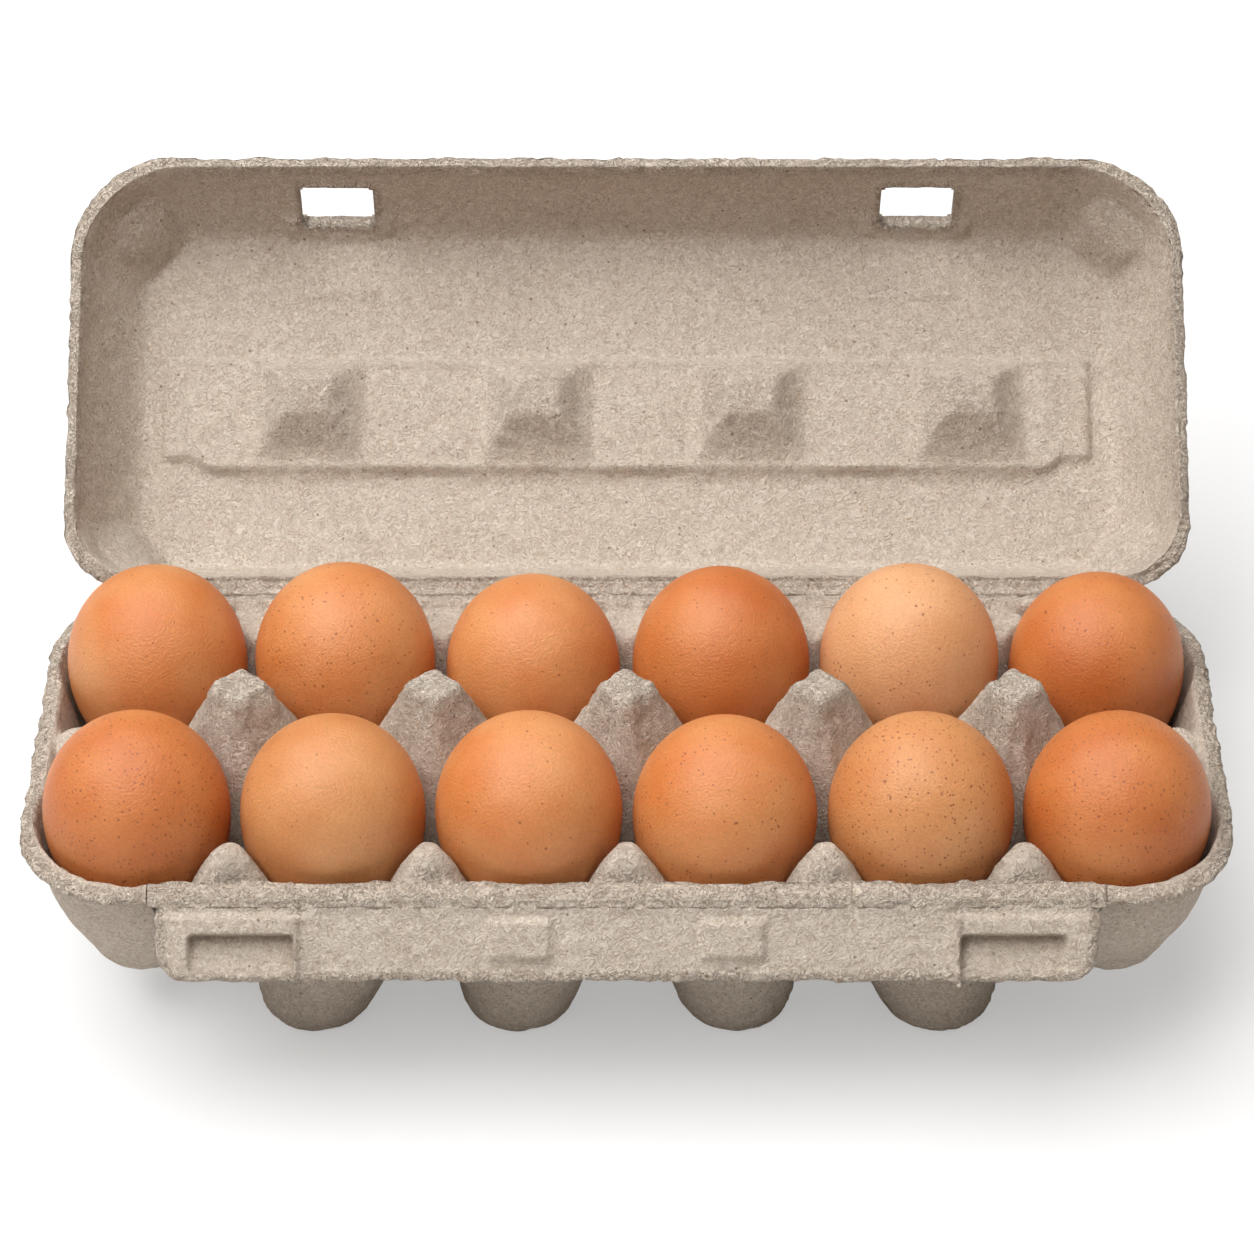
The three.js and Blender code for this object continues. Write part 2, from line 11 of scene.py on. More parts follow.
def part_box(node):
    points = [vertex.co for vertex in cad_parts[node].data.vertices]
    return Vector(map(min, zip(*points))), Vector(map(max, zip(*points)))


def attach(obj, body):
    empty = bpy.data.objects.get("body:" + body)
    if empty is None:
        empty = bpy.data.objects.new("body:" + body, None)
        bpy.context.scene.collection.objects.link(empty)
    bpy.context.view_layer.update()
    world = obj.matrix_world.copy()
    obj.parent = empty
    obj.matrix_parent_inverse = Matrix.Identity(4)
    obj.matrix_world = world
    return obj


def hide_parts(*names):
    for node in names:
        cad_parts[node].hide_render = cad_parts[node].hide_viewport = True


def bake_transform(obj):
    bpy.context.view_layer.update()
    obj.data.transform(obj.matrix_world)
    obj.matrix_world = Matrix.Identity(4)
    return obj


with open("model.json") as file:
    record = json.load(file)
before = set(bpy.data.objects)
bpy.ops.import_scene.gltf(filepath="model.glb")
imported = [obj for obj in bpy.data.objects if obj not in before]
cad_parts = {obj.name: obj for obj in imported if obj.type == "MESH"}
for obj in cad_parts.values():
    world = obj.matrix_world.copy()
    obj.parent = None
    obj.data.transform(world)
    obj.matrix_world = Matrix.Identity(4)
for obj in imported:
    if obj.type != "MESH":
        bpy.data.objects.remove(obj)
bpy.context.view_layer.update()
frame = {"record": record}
MM = 0.001

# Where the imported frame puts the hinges, and the tray's own origin between the rows of eggs
JOINTS = {joint["name"]: joint for joint in frame["record"]["behaviour"]["joints"]}
LID_AXIS = Vector(JOINTS["lid_hinge"]["pos_m"]) / MM
FLAP_AXIS = Vector(JOINTS["flap_hinge"]["pos_m"]) / MM
LID_SHUT_DEG = JOINTS["lid_hinge"]["range_deg"][1]
FLAP_HANG_DEG = 50
HINGE_BEHIND_TRAY = 0.5
TRAY_BACK_Y = 56
TRAY_Y = LID_AXIS.y - HINGE_BEHIND_TRAY - TRAY_BACK_Y

# Tray dimensions
COLUMNS = 6
PITCH_X = 48
PITCH_Y = 56
RIM_Z = 60
PULP = 2.2
MOUTH_R = 24.9
CONE_R0 = 11.9
CONE_DRAFT = (MOUTH_R - CONE_R0) / RIM_Z
FLARE_SLOPE = 2.4
FLOOR_BLEND = 6
END_CUP_LIFT = 14
END_CUP_TAPER = {"below_z": 36, "slope": 1.9, "blend": 4}
FOOT_SHIFT_X = np.array([3.5, 7, 2.5])
FOOT_SHIFT_Y = np.array([4.8, 4.8, 0])
SPLAY_TOP = 35
SPLAY_ROUNDS = 8
SADDLE_Z = RIM_Z - 22
SADDLE_BLEND = 2
POST_SLOPE = 2.15
POST_BLEND = 1.5
CREST_BLEND = 1.2
WALL_HALF = (143.6, 51)
WALL_R = 20
WALL_SLOPE = 4
TRAY_HALF_X = 148
TRAY_FRONT_Y = -58.2
RECESS_Y = -54
RECESS_HALF_X = 114.6
RECESS_TURN = {"lines": 0.5, "step": 0.6}
RIM_CORNER_R = 26
TRAY_GRID = 0.93

# Lid dimensions
LID_HALF_X = 147.9
LID_LENGTH = 117.8
LID_DEPTH = 28
LID_START = 0.5
LID_LIFT = 0.2
LID_CORNER_R = {"front": 27, "hinge": 18}
LID_CORNER_DRAFT = {"front": 0.3, "hinge": 0.2}
LID_FLANGE = {"side": 3, "front": 3, "hinge": 3}
LID_DRAFT = {"side": 0.48, "front": 0.38, "hinge": 0.31}
LID_WALL_BOW = 0.45
LID_WALL_BLEND = 3.5
LID_GRID = {"x": 1.05, "window_x": 0.99, "away": 1.0, "depth": 1.4, "window_depth": 1, "flange": 0.6}
RIB = {"from": 37.6, "to": 70, "rise": 2.4, "end": 126, "step": (-0.2, 1.5)}
RIB_END = {"starts": 14, "full": 8, "narrower": 3.5, "lower": 0.5, "slope": 0.8}
RIB_CREST = {"rise": 0.35, "inset": 1.8, "width": 1.1}
PYRAMIDS_X = (-86, -24.5, 33, 92)
PYRAMID = {"away": 57.4, "rise": 10, "half_x": 6.4, "half_away": 5}
PYRAMID_HOLLOW = {"side": 0.8, "hinge": 0.7}
PYRAMID_BLEND = {"ridge": 0.5, "top": 0.6, "foot": 0.5}
PYRAMID_SLOPE = {"side": 0.78, "hinge": 0.58, "front": 1.2}
STUBS = [
    {"x": 131.2, "away": 102.5, "depth": 14.4, "lean": 1},
    {"x": 133.5, "away": 13.4, "depth": 15.4, "lean": -1},
]
STUB = {"radius": 4, "half_length": 4.5, "ramp": 1.15, "slope": 2.1, "edge": 1, "blend": 0.8}
WINDOW = {"x": 78.5, "width": 19.8, "low": 9, "high": 23.8, "radius": 2}
FRONT_WALL_AWAY = 87.4

# Flap dimensions
FLAP_HALF_X = 113.4
FLAP_LENGTH = 20.2
FLAP_START = 0.4
FLAP_CORNER_R = 6

# The camera stands in front and above, where the photograph was taken from
CAMERA = {
    "y": -725.4, "above_rim": 664.7, "pitch_deg": 41,
    "focal_px": 3929.5, "frame_px": 1254, "lowered_px": 5,
}


def make_camera():
    data = bpy.data.cameras.new("camera")
    data.sensor_width = 36
    data.lens = data.sensor_width * CAMERA["focal_px"] / CAMERA["frame_px"]
    data.shift_y = CAMERA["lowered_px"] / CAMERA["frame_px"]
    data.clip_end = 20
    camera = bpy.data.objects.new("camera", data)
    camera.location = Vector((0, CAMERA["y"] + TRAY_Y, RIM_Z + CAMERA["above_rim"])) * MM
    camera.rotation_euler = (math.radians(90 - CAMERA["pitch_deg"]), 0, 0)
    bpy.context.collection.objects.link(camera)
    bpy.context.scene.camera = camera


make_camera()


# Noise: smooth random values at points in space, the same on every run
def lattice_value(cell, seed):
    mixed = cell[..., 0] * 73856093 ^ cell[..., 1] * 19349663 ^ cell[..., 2] * 83492791 ^ seed * 2654435761
    mixed = (mixed ^ (mixed >> 13)) * 1274126177
    return ((mixed ^ (mixed >> 16)) & 0xFFFF) / 32767.5 - 1


def noise(points, size, seed):
    """Values from -1 to 1 that vary over the given size in millimetres."""
    scaled = np.asarray(points, float) / size + 1000
    cell = np.floor(scaled).astype(np.int64)
    part = scaled - cell
    ease = part * part * (3 - 2 * part)
    total = 0
    for corner in np.ndindex(2, 2, 2):
        weight = np.prod(np.where(corner, ease, 1 - ease), axis=-1)
        total = total + weight * lattice_value(cell + np.array(corner), seed)
    return total


# Relief of the pulp: each layer is a height and the size of its lumps
RELIEF = {"curl": (1.2, 3), "fibres": (0.14, 2.1), "lumps": (0.2, 6), "grain": (0.14, 2.6)}
CRUMBLE = {"curl": (1.5, 4), "folds": (0.45, 3.2), "grain": (0.25, 1.8), "sunk": 0.3}
TORN_STEPS = [
    {"reach": 2.4, "broad": (0.9, 4), "fine": (0.5, 1.6), "drop": 0.4},
    {"reach": 1.1, "broad": (0.6, 3), "fine": (0.4, 1.4), "drop": 0.35},
]
TORN_STEP_WIDTH = 0.4
INNER_RELIEF = 0.9


def waves(points, layer, seed):
    height, size = layer
    return height * noise(points, size, seed)


def folds(points, curl, layer, seed):
    """Narrow ridges in curls: the points are moved about before the noise is read."""
    curled = points + np.stack([waves(points, curl, seed + i) for i in (1, 2, 3)], axis=-1)
    height, size = layer
    return height * (1 - 2 * np.abs(noise(curled, size, seed + 4)))


def pulp_relief(points, seed):
    """Height of the pulp's lumps and fibres above the moulded surface, in millimetres."""
    lumps = waves(points, RELIEF["lumps"], seed + 5) + waves(points, RELIEF["grain"], seed + 6)
    return lumps + folds(points, RELIEF["curl"], RELIEF["fibres"], seed)


def crumble(points, seed):
    """Deeper wrinkles for the places where the pulp was stretched over a tip or a ridge."""
    wrinkles = folds(points, CRUMBLE["curl"], CRUMBLE["folds"], seed)
    return wrinkles + waves(points, CRUMBLE["grain"], seed + 5) - CRUMBLE["sunk"]


def torn_layers(points, inset, seed):
    """How far the torn layers of a cut edge step down from the skin."""
    fall = 0
    for number, step in enumerate(TORN_STEPS):
        reach = step["reach"] + waves(points, step["broad"], seed + 2 * number)
        reach = reach + waves(points, step["fine"], seed + 2 * number + 1)
        fall = fall + step["drop"] * smooth_step(reach - inset, 0, TORN_STEP_WIDTH)
    return fall


# Height functions
def smooth_max(a, b, width):
    share = np.maximum(width - np.abs(a - b), 0) / width
    return np.maximum(a, b) + share * share * width / 4


def smooth_min(a, b, width):
    return -smooth_max(-a, -b, width)


def smooth_step(value, low, high):
    share = np.clip((value - low) / (high - low), 0, 1)
    return share * share * (3 - 2 * share)


def inset_from(x, y, half_x, half_y, radius):
    """How far inside a rectangle with round corners a point lies."""
    across = np.abs(x) - (half_x - radius)
    deep = np.abs(y) - (half_y - radius)
    outside = np.hypot(np.maximum(across, 0), np.maximum(deep, 0))
    return radius - outside - np.minimum(np.maximum(across, deep), 0)


GAPS_X = [(i - (COLUMNS - 2) / 2) * PITCH_X for i in range(COLUMNS - 1)]
# Each post: place, height of its top, half width of its flat top and how softly the top's edge turns
POSTS = [(x, 0, RIM_Z + 16.8, 6.2, 0.2) for x in GAPS_X]
POSTS += [(x, -46.1, RIM_Z + 4.6, 1.5, 5) for x in GAPS_X]
POSTS += [(x, 45, RIM_Z - 1.6, 6.5, 0.6) for x in GAPS_X]
POSTS += [(x, 0, RIM_Z - 1, 3.5, 2) for x in (-138, 138)]


def bowl_height(x, y):
    """Height of the cups' inner face. A foot leans with its depth, so the height is settled in rounds."""
    column = np.clip(np.round(x / PITCH_X + (COLUMNS - 1) / 2), 0, COLUMNS - 1)
    cup_x = (column - (COLUMNS - 1) / 2) * PITCH_X
    cup_y = np.where(y >= 0, PITCH_Y / 2, -PITCH_Y / 2)
    from_middle = np.floor(np.abs(cup_x) / PITCH_X).astype(int)
    is_end = from_middle == COLUMNS // 2 - 1
    floor = PULP + np.where(is_end, END_CUP_LIFT, 0)
    taper_r = CONE_R0 + CONE_DRAFT * END_CUP_TAPER["below_z"]
    z = floor
    for _ in range(SPLAY_ROUNDS):
        splay = np.clip(1 - z / SPLAY_TOP, 0, 1)
        shift_x = np.sign(cup_x) * FOOT_SHIFT_X[from_middle] * splay
        shift_y = np.sign(cup_y) * FOOT_SHIFT_Y[from_middle] * splay
        radius = np.hypot(x - cup_x - shift_x, y - cup_y - shift_y)
        cone = (radius - CONE_R0) / CONE_DRAFT
        taper = END_CUP_TAPER["below_z"] - (taper_r - radius) * END_CUP_TAPER["slope"]
        wall = np.where(is_end, smooth_max(cone, taper, END_CUP_TAPER["blend"]), cone)
        flare = RIM_Z + (radius - MOUTH_R) * FLARE_SLOPE
        z = smooth_max(floor, np.minimum(wall, flare), FLOOR_BLEND)
    return z


def ridge_height(x, y):
    inset = np.maximum(inset_from(x, y, *WALL_HALF, WALL_R), 0)
    z = smooth_max(SADDLE_Z, RIM_Z - inset * WALL_SLOPE, SADDLE_BLEND)
    for post_x, post_y, top, radius, soft in POSTS:
        away = np.maximum(np.hypot(x - post_x, y - post_y) - radius, 0)
        z = smooth_max(z, top - (np.hypot(away, soft) - soft) * POST_SLOPE, POST_BLEND)
    return z


def tray_top(x, y):
    return smooth_min(bowl_height(x, y), ridge_height(x, y), CREST_BLEND)


def offset_below(surface, x, y, thickness):
    """Height of the underside: the lowest that a ball of the sheet's thickness reaches round each point."""
    z = surface(x, y) - thickness
    for share in (0.5, 0.8, 0.95):
        reach = share * thickness
        drop = math.sqrt(thickness**2 - reach**2)
        for turn in range(12):
            angle = turn * math.pi / 6
            z = np.minimum(z, surface(x + reach * math.cos(angle), y + reach * math.sin(angle)) - drop)
    return z


# Meshes
def grid_normals(points):
    along = np.gradient(points, axis=1)
    down = np.gradient(points, axis=0)
    normals = np.cross(along, down)
    return normals / np.maximum(np.linalg.norm(normals, axis=-1, keepdims=True), 1e-9)


def blurred(values, passes):
    for _ in range(passes):
        padded = np.pad(values, ((1, 1), (1, 1), (0, 0)), mode="edge")
        around = padded[2:, 1:-1] + padded[:-2, 1:-1] + padded[1:-1, 2:] + padded[1:-1, :-2]
        values = around / 8 + values / 2
    return values


def sheet_object(name, upper, lower, placed, torn, keep=None):
    """A closed body between two grids of points, less the cells not kept, with how torn each point is, which
    also sets where painted shade darkens the creases.
    """
    rows, columns = upper.shape[:2]
    count = rows * columns
    index = np.arange(count).reshape(rows, columns)
    keep = np.ones((rows - 1, columns - 1), bool) if keep is None else keep
    corner_a, corner_b = index[:-1, :-1], index[:-1, 1:]
    corner_d, corner_c = index[1:, :-1], index[1:, 1:]
    top = np.stack([corner_a, corner_b, corner_c, corner_d], -1)[keep]
    faces = [top, top[:, ::-1] + count]
    padded = np.pad(keep, 1)
    sides = [
        (padded[:-2, 1:-1], corner_a, corner_b),
        (padded[1:-1, 2:], corner_b, corner_c),
        (padded[2:, 1:-1], corner_c, corner_d),
        (padded[1:-1, :-2], corner_d, corner_a),
    ]
    for neighbour, start, end in sides:
        edge = keep & ~neighbour
        start, end = start[edge], end[edge]
        faces.append(np.stack([end, start, start + count, end + count], -1))
    faces = np.concatenate(faces)
    if np.sum(grid_normals(upper) * (upper - lower)) < 0:
        faces = faces[:, ::-1]
    points = np.concatenate([upper.reshape(-1, 3), lower.reshape(-1, 3)])
    used, faces = np.unique(faces, return_inverse=True)
    piece = mesh_object(name, points[used], faces.reshape(-1, 4).tolist(), placed)
    shares = np.tile(np.broadcast_to(torn, (rows, columns)).ravel(), 2)[used]
    how_torn = piece.data.attributes.new("torn", "FLOAT", "POINT")
    how_torn.data.foreach_set("value", shares.astype(np.float32))
    return piece


def mesh_object(name, points, faces, placed=Matrix.Identity(4)):
    mesh = bpy.data.meshes.new(name)
    mesh.from_pydata((points * MM).tolist(), [], faces)
    mesh.transform(placed)
    mesh.polygons.foreach_set("use_smooth", [True] * len(mesh.polygons))
    mesh.update()
    piece = bpy.data.objects.new(name, mesh)
    bpy.context.collection.objects.link(piece)
    return piece


def placed_at(axis, turn_deg):
    return Matrix.Translation(Vector(axis) * MM) @ Matrix.Rotation(math.radians(turn_deg), 4, "X")


def runs(*stops):
    """Values from stop to stop: each stop is (end, step) after the first, which is a plain number."""
    values = [stops[0]]
    for end, step in stops[1:]:
        count = max(1, round(abs(end - values[-1]) / step))
        values.extend(np.linspace(values[-1], end, count + 1)[1:])
    return np.array(values)


def arc_columns(half, radius, step_deg=3):
    angles = np.radians(np.arange(0, 90.01, step_deg))
    return half - radius + radius * np.sin(angles)


def corner_drop(x, half, radius):
    """How far a straight edge falls back at a column, because of the round corner."""
    into = np.clip(np.abs(x) - (half - radius), 0, radius)
    return radius - np.sqrt(radius**2 - into**2)


def rounded_edge(inset, radius):
    """How far a skin falls away near a cut edge that is rounded over."""
    near = np.clip(radius - inset, 0, radius)
    return radius - np.sqrt(radius**2 - near**2)


# Cut edges: the round of an edge, how far in its extra lines lie, and the waves that push it in and out
EDGE_R = 0.7
EDGE_LINES = np.array([0, 0.12, 0.4, 0.8, 1.3, 1.8, 2.4])
EDGE_GAP = 0.4
RAGGED_REACH = 3.5
RAGGED_WAVES = ((0.35, 2.4), (0.25, 1.1), (0.3, 9))


def with_edges(values):
    """Adds lines close to both ends, where the cut edge is rounded over and torn."""
    low, high = values[0], values[-1]
    clear = EDGE_LINES[-1] + EDGE_GAP
    inner = values[(values > low + clear) & (values < high - clear)]
    return np.concatenate([low + EDGE_LINES, inner, high - EDGE_LINES[::-1]])


def ragged(points, inset, core, middle_y, seed):
    """Pushes a torn edge in and out, in the plane of the sheet, away from a rectangle inside it."""
    flat = points * np.array([1, 1, 0])
    wave = sum(waves(flat, layer, seed + number) for number, layer in enumerate(RAGGED_WAVES))
    share = np.clip(1 - inset / RAGGED_REACH, 0, 1)
    core_x, core_y = core
    x, y = points[..., 0], points[..., 1] - middle_y
    away_x = x - np.clip(x, -core_x, core_x)
    away_y = y - np.clip(y, -core_y, core_y)
    out = np.stack([away_x, away_y, np.zeros_like(x)], -1)
    out = out / np.maximum(np.linalg.norm(out, axis=-1, keepdims=True), 1e-6)
    return points + (share * wave)[..., None] * out


# Where the tray's pulp is wrinkled or torn, by its height over the rim or its distance from the edge
TRAY_WEAR = {
    "post_tip": {"start": 1, "full": 7},
    "back_post": {"start_y": 43, "full_y": 48, "start": -9, "full": -4, "share": 0.6},
    "edge": {"start": 5, "full": 2, "share": 0.7},
    "sunk_rim": {"start": 9, "full": 5, "drop": 0.2},
    "post_side_torn": {"start": 3, "full": 8, "share": 0.4},
    "post_top_torn": {"start": 13, "full": 16, "share": 0.3},
    "tip_torn": 0.4,
    "edge_torn": {"start": 4.5, "full": 2.5},
}


def grows(value, stage):
    """A share that goes from 0 at the start of a stage to its full strength at its end."""
    return stage.get("share", 1) * smooth_step(value, stage["start"], stage["full"])


def tray_piece():
    flat_half = TRAY_HALF_X - RIM_CORNER_R - RECESS_TURN["lines"]
    half_columns = np.concatenate([runs(0, (flat_half, TRAY_GRID)), arc_columns(TRAY_HALF_X, RIM_CORNER_R)])
    recess_lines = [RECESS_HALF_X - RECESS_TURN["lines"], RECESS_HALF_X + RECESS_TURN["lines"]]
    half_columns = np.unique(np.concatenate([half_columns, recess_lines]))
    x_line = np.concatenate([-half_columns[:0:-1], half_columns])
    drop = corner_drop(x_line, TRAY_HALF_X, RIM_CORNER_R)
    turn = RECESS_TURN["step"]
    in_recess = smooth_step(np.abs(x_line), RECESS_HALF_X + turn, RECESS_HALF_X - turn)
    recess = (RECESS_Y - TRAY_FRONT_Y) * in_recess
    front = TRAY_FRONT_Y + drop + recess
    back = TRAY_BACK_Y - drop
    depth = back.max() - front.min()
    lines = with_edges(runs(0, (depth, TRAY_GRID))) / depth
    x = np.tile(x_line, (len(lines), 1))
    y = front[None] + lines[:, None] * (back - front)[None]
    z = tray_top(x, y)
    below = offset_below(tray_top, x, y, PULP)
    centre = (TRAY_FRONT_Y + TRAY_BACK_Y) / 2
    half_y = (TRAY_BACK_Y - TRAY_FRONT_Y) / 2
    inset = inset_from(x, y - centre, TRAY_HALF_X, half_y, RIM_CORNER_R)
    inset = np.maximum(np.minimum(inset, y - front[None]), 0)
    fall = rounded_edge(inset, EDGE_R)
    upper = np.stack([x, y, z - fall], -1)
    lower = np.stack([x, y, below + fall], -1)
    upper[..., 2] -= torn_layers(upper, inset, 15)
    back_post = TRAY_WEAR["back_post"]
    at_back = smooth_step(y, back_post["start_y"], back_post["full_y"])
    tip = grows(z - RIM_Z, TRAY_WEAR["post_tip"]) + at_back * grows(z - RIM_Z, back_post)
    tip = np.maximum(tip, grows(inset, TRAY_WEAR["edge"]))
    relief = pulp_relief(upper, 11) * INNER_RELIEF + crumble(upper, 17) * tip
    relief = relief - TRAY_WEAR["sunk_rim"]["drop"] * grows(inset, TRAY_WEAR["sunk_rim"])
    upper = upper + grid_normals(upper) * relief[..., None]
    lower_relief = pulp_relief(lower, 23) * np.where(z < PULP + 1, 0, 1)
    lower = lower - grid_normals(lower) * lower_relief[..., None]
    core = (TRAY_HALF_X - RIM_CORNER_R, half_y - RIM_CORNER_R)
    skins = [ragged(skin, inset, core, centre, 31) for skin in (upper, lower)]
    # How torn the pulp is: it places the crease lines, which carry painted shade as well as a bump
    post_torn = grows(z - RIM_Z, TRAY_WEAR["post_side_torn"]) + grows(z - RIM_Z, TRAY_WEAR["post_top_torn"])
    torn = np.maximum(post_torn, TRAY_WEAR["tip_torn"] * tip)
    torn = np.maximum(torn, grows(inset, TRAY_WEAR["edge_torn"]))
    return sheet_object("tray_pulp", *skins, placed_at((0, TRAY_Y, 0), 0), torn)


# Lid
WALL_HALVINGS = 14
OUTWARD_BLUR = 6
DIAGONAL = math.sqrt(0.5)


def bowed(depth):
    """Depth as the walls' draft counts it: they lean in less near the rim than near the roof."""
    return depth * (LID_WALL_BOW + (1 - LID_WALL_BOW) * depth / LID_DEPTH)


def lid_wall(x, away):
    """Depth of the lid's walls at a point: the deepest level whose outline still holds the point."""
    low = np.zeros_like(x)
    high = np.full_like(x, 2.0 * LID_DEPTH)
    for _ in range(WALL_HALVINGS):
        depth = (low + high) / 2
        half = LID_HALF_X - LID_FLANGE["side"] - LID_DRAFT["side"] * bowed(depth)
        front = LID_START + LID_LENGTH - LID_FLANGE["front"] - LID_DRAFT["front"] * bowed(depth)
        back = LID_START + LID_FLANGE["hinge"] + LID_DRAFT["hinge"] * bowed(depth)
        middle = (front + back) / 2
        front_r = LID_CORNER_R["front"] - LID_CORNER_DRAFT["front"] * depth
        hinge_r = LID_CORNER_R["hinge"] - LID_CORNER_DRAFT["hinge"] * depth
        radius = np.where(away > middle, front_r, hinge_r)
        inside = inset_from(x, away - middle, half, (front - back) / 2, radius) > 0
        low = np.where(inside, depth, low)
        high = np.where(inside, high, depth)
    return low


def stub_depth(stub, across, along):
    """Depth of the face of a corner stub, from its middle. It is a slanted bar that ramps to the corner."""
    place = (along * stub["lean"] - across) * DIAGONAL
    place = np.clip(place, -STUB["half_length"], STUB["half_length"])
    across_line = across + place * DIAGONAL
    along_line = along - place * stub["lean"] * DIAGONAL
    distance = np.hypot(across_line, along_line)
    inwards = -(across + along * stub["lean"]) * DIAGONAL
    inwards = np.clip(inwards, -STUB["radius"], STUB["radius"])
    edge = STUB["edge"]
    away = np.maximum(distance - STUB["radius"] + edge, 0)
    return stub["depth"] + inwards * STUB["ramp"] + (np.hypot(away, edge) - edge) * STUB["slope"]


def pyramid_height(x, away):
    """Height of the nearest pyramid above the lid's roof; its sides are hollow."""
    height = np.zeros_like(x)
    for centre in PYRAMIDS_X:
        side = (np.abs(x - centre) - PYRAMID["half_x"]) * PYRAMID_SLOPE["side"]
        hinge = (PYRAMID["away"] - PYRAMID["half_away"] - away) * PYRAMID_SLOPE["hinge"]
        front = (away - PYRAMID["away"] - PYRAMID["half_away"]) * PYRAMID_SLOPE["front"]
        side = side + PYRAMID_HOLLOW["side"] * np.sin(np.clip(side / PYRAMID["rise"], 0, 1) * math.pi)
        hinge = hinge + PYRAMID_HOLLOW["hinge"] * np.sin(np.clip(hinge / PYRAMID["rise"], 0, 1) * math.pi)
        slope = smooth_max(side, np.maximum(hinge, front), PYRAMID_BLEND["ridge"])
        fall = smooth_max(slope, 0, PYRAMID_BLEND["top"])
        height = np.maximum(height, PYRAMID["rise"] - fall)
    return height


def rib_height(x, away):
    """Height of the low band under the pyramids; it is narrower and lower near both ends."""
    from_end = RIB["end"] - np.abs(x)
    near_end = smooth_step(from_end, RIB_END["starts"], RIB_END["full"])
    low_edge = RIB["from"] + RIB_END["narrower"] * near_end
    inside = np.minimum(np.minimum(away - low_edge, RIB["to"] - away), from_end * RIB_END["slope"])
    crest = RIB_CREST["rise"] * np.exp(-(((inside - RIB_CREST["inset"]) / RIB_CREST["width"]) ** 2))
    height = RIB["rise"] - RIB_END["lower"] * near_end
    return height * smooth_step(inside, *RIB["step"]) + crest * (1 - near_end)


def lid_inner(x, away):
    """Depth of the lid's inner face behind its rim."""
    rib, pyramid = LID_DEPTH - rib_height(x, away), LID_DEPTH - pyramid_height(x, away)
    roof = smooth_min(rib, pyramid, PYRAMID_BLEND["foot"])
    for stub in STUBS:
        face = stub_depth(stub, np.abs(x) - stub["x"], away - stub["away"])
        roof = smooth_min(roof, face, STUB["blend"])
    return np.maximum(smooth_min(roof, lid_wall(x, away), LID_WALL_BLEND), 0)


def window_inset(x, depth):
    """How far inside a window a point of the front wall lies, with round corners."""
    height = WINDOW["high"] - WINDOW["low"]
    middle = (WINDOW["high"] + WINDOW["low"]) / 2
    across = np.abs(x) - WINDOW["x"]
    return inset_from(across, depth - middle, WINDOW["width"] / 2, height / 2, WINDOW["radius"])


# Raised pulp round a window: each range runs from where it starts to where it is complete
WINDOW_LIP = {"start": -2.2, "full": -0.6, "share": 0.7}
SILL = {"rise": 1.1, "sides": (1, -0.5), "top": (-1.4, -0.3), "foot": (5, 3)}
LEDGE = {"rise": 1.1, "sides": (5.5, 4), "inner": (0, 1), "top": (-3.5, -2), "foot": (4, 2)}
SILL_BACK = {"rise": 1.2, "sides": (2, 0), "top": (-1.6, -0.4), "foot": (4.5, 2.5)}


def past_window(x):
    return np.abs(np.abs(x) - WINDOW["x"]) - WINDOW["width"] / 2


def bar_height(x, depth, bar):
    """Height of a bar along the foot of a window, which fades out at its ends, its top and its foot."""
    below = depth - WINDOW["high"]
    upright = smooth_step(below, *bar["top"]) * smooth_step(below, *bar["foot"])
    return bar["rise"] * smooth_step(past_window(x), *bar["sides"]) * upright


def window_lip(x, depth):
    """Raised edge round each window, with a thick sill and a small ledge at both of its ends."""
    lip = grows(window_inset(x, depth), WINDOW_LIP)
    ledge = bar_height(x, depth, LEDGE) * smooth_step(past_window(x), *LEDGE["inner"])
    return np.maximum(lip, np.maximum(bar_height(x, depth, SILL), ledge))


# Where the lid's pulp is wrinkled or torn
LID_WEAR = {
    "pyramid": {"start": 3, "full": 6},
    "stub": {"start": 10, "full": 6, "share": 0.6},
    "band": {"inset": 1.5, "width": 1.6, "share": 0.5},
    "inside": 0.55,
    "edge": {"start": 5, "full": 2, "share": 0.8},
    "sunk_rim": {"start": 3, "full": 0.5, "drop": 0.45},
    "rough_torn": 0.6,
    "window_torn": {"start": -2.5, "full": -0.5},
    "edge_torn": {"start": 4.5, "full": 2.5},
}


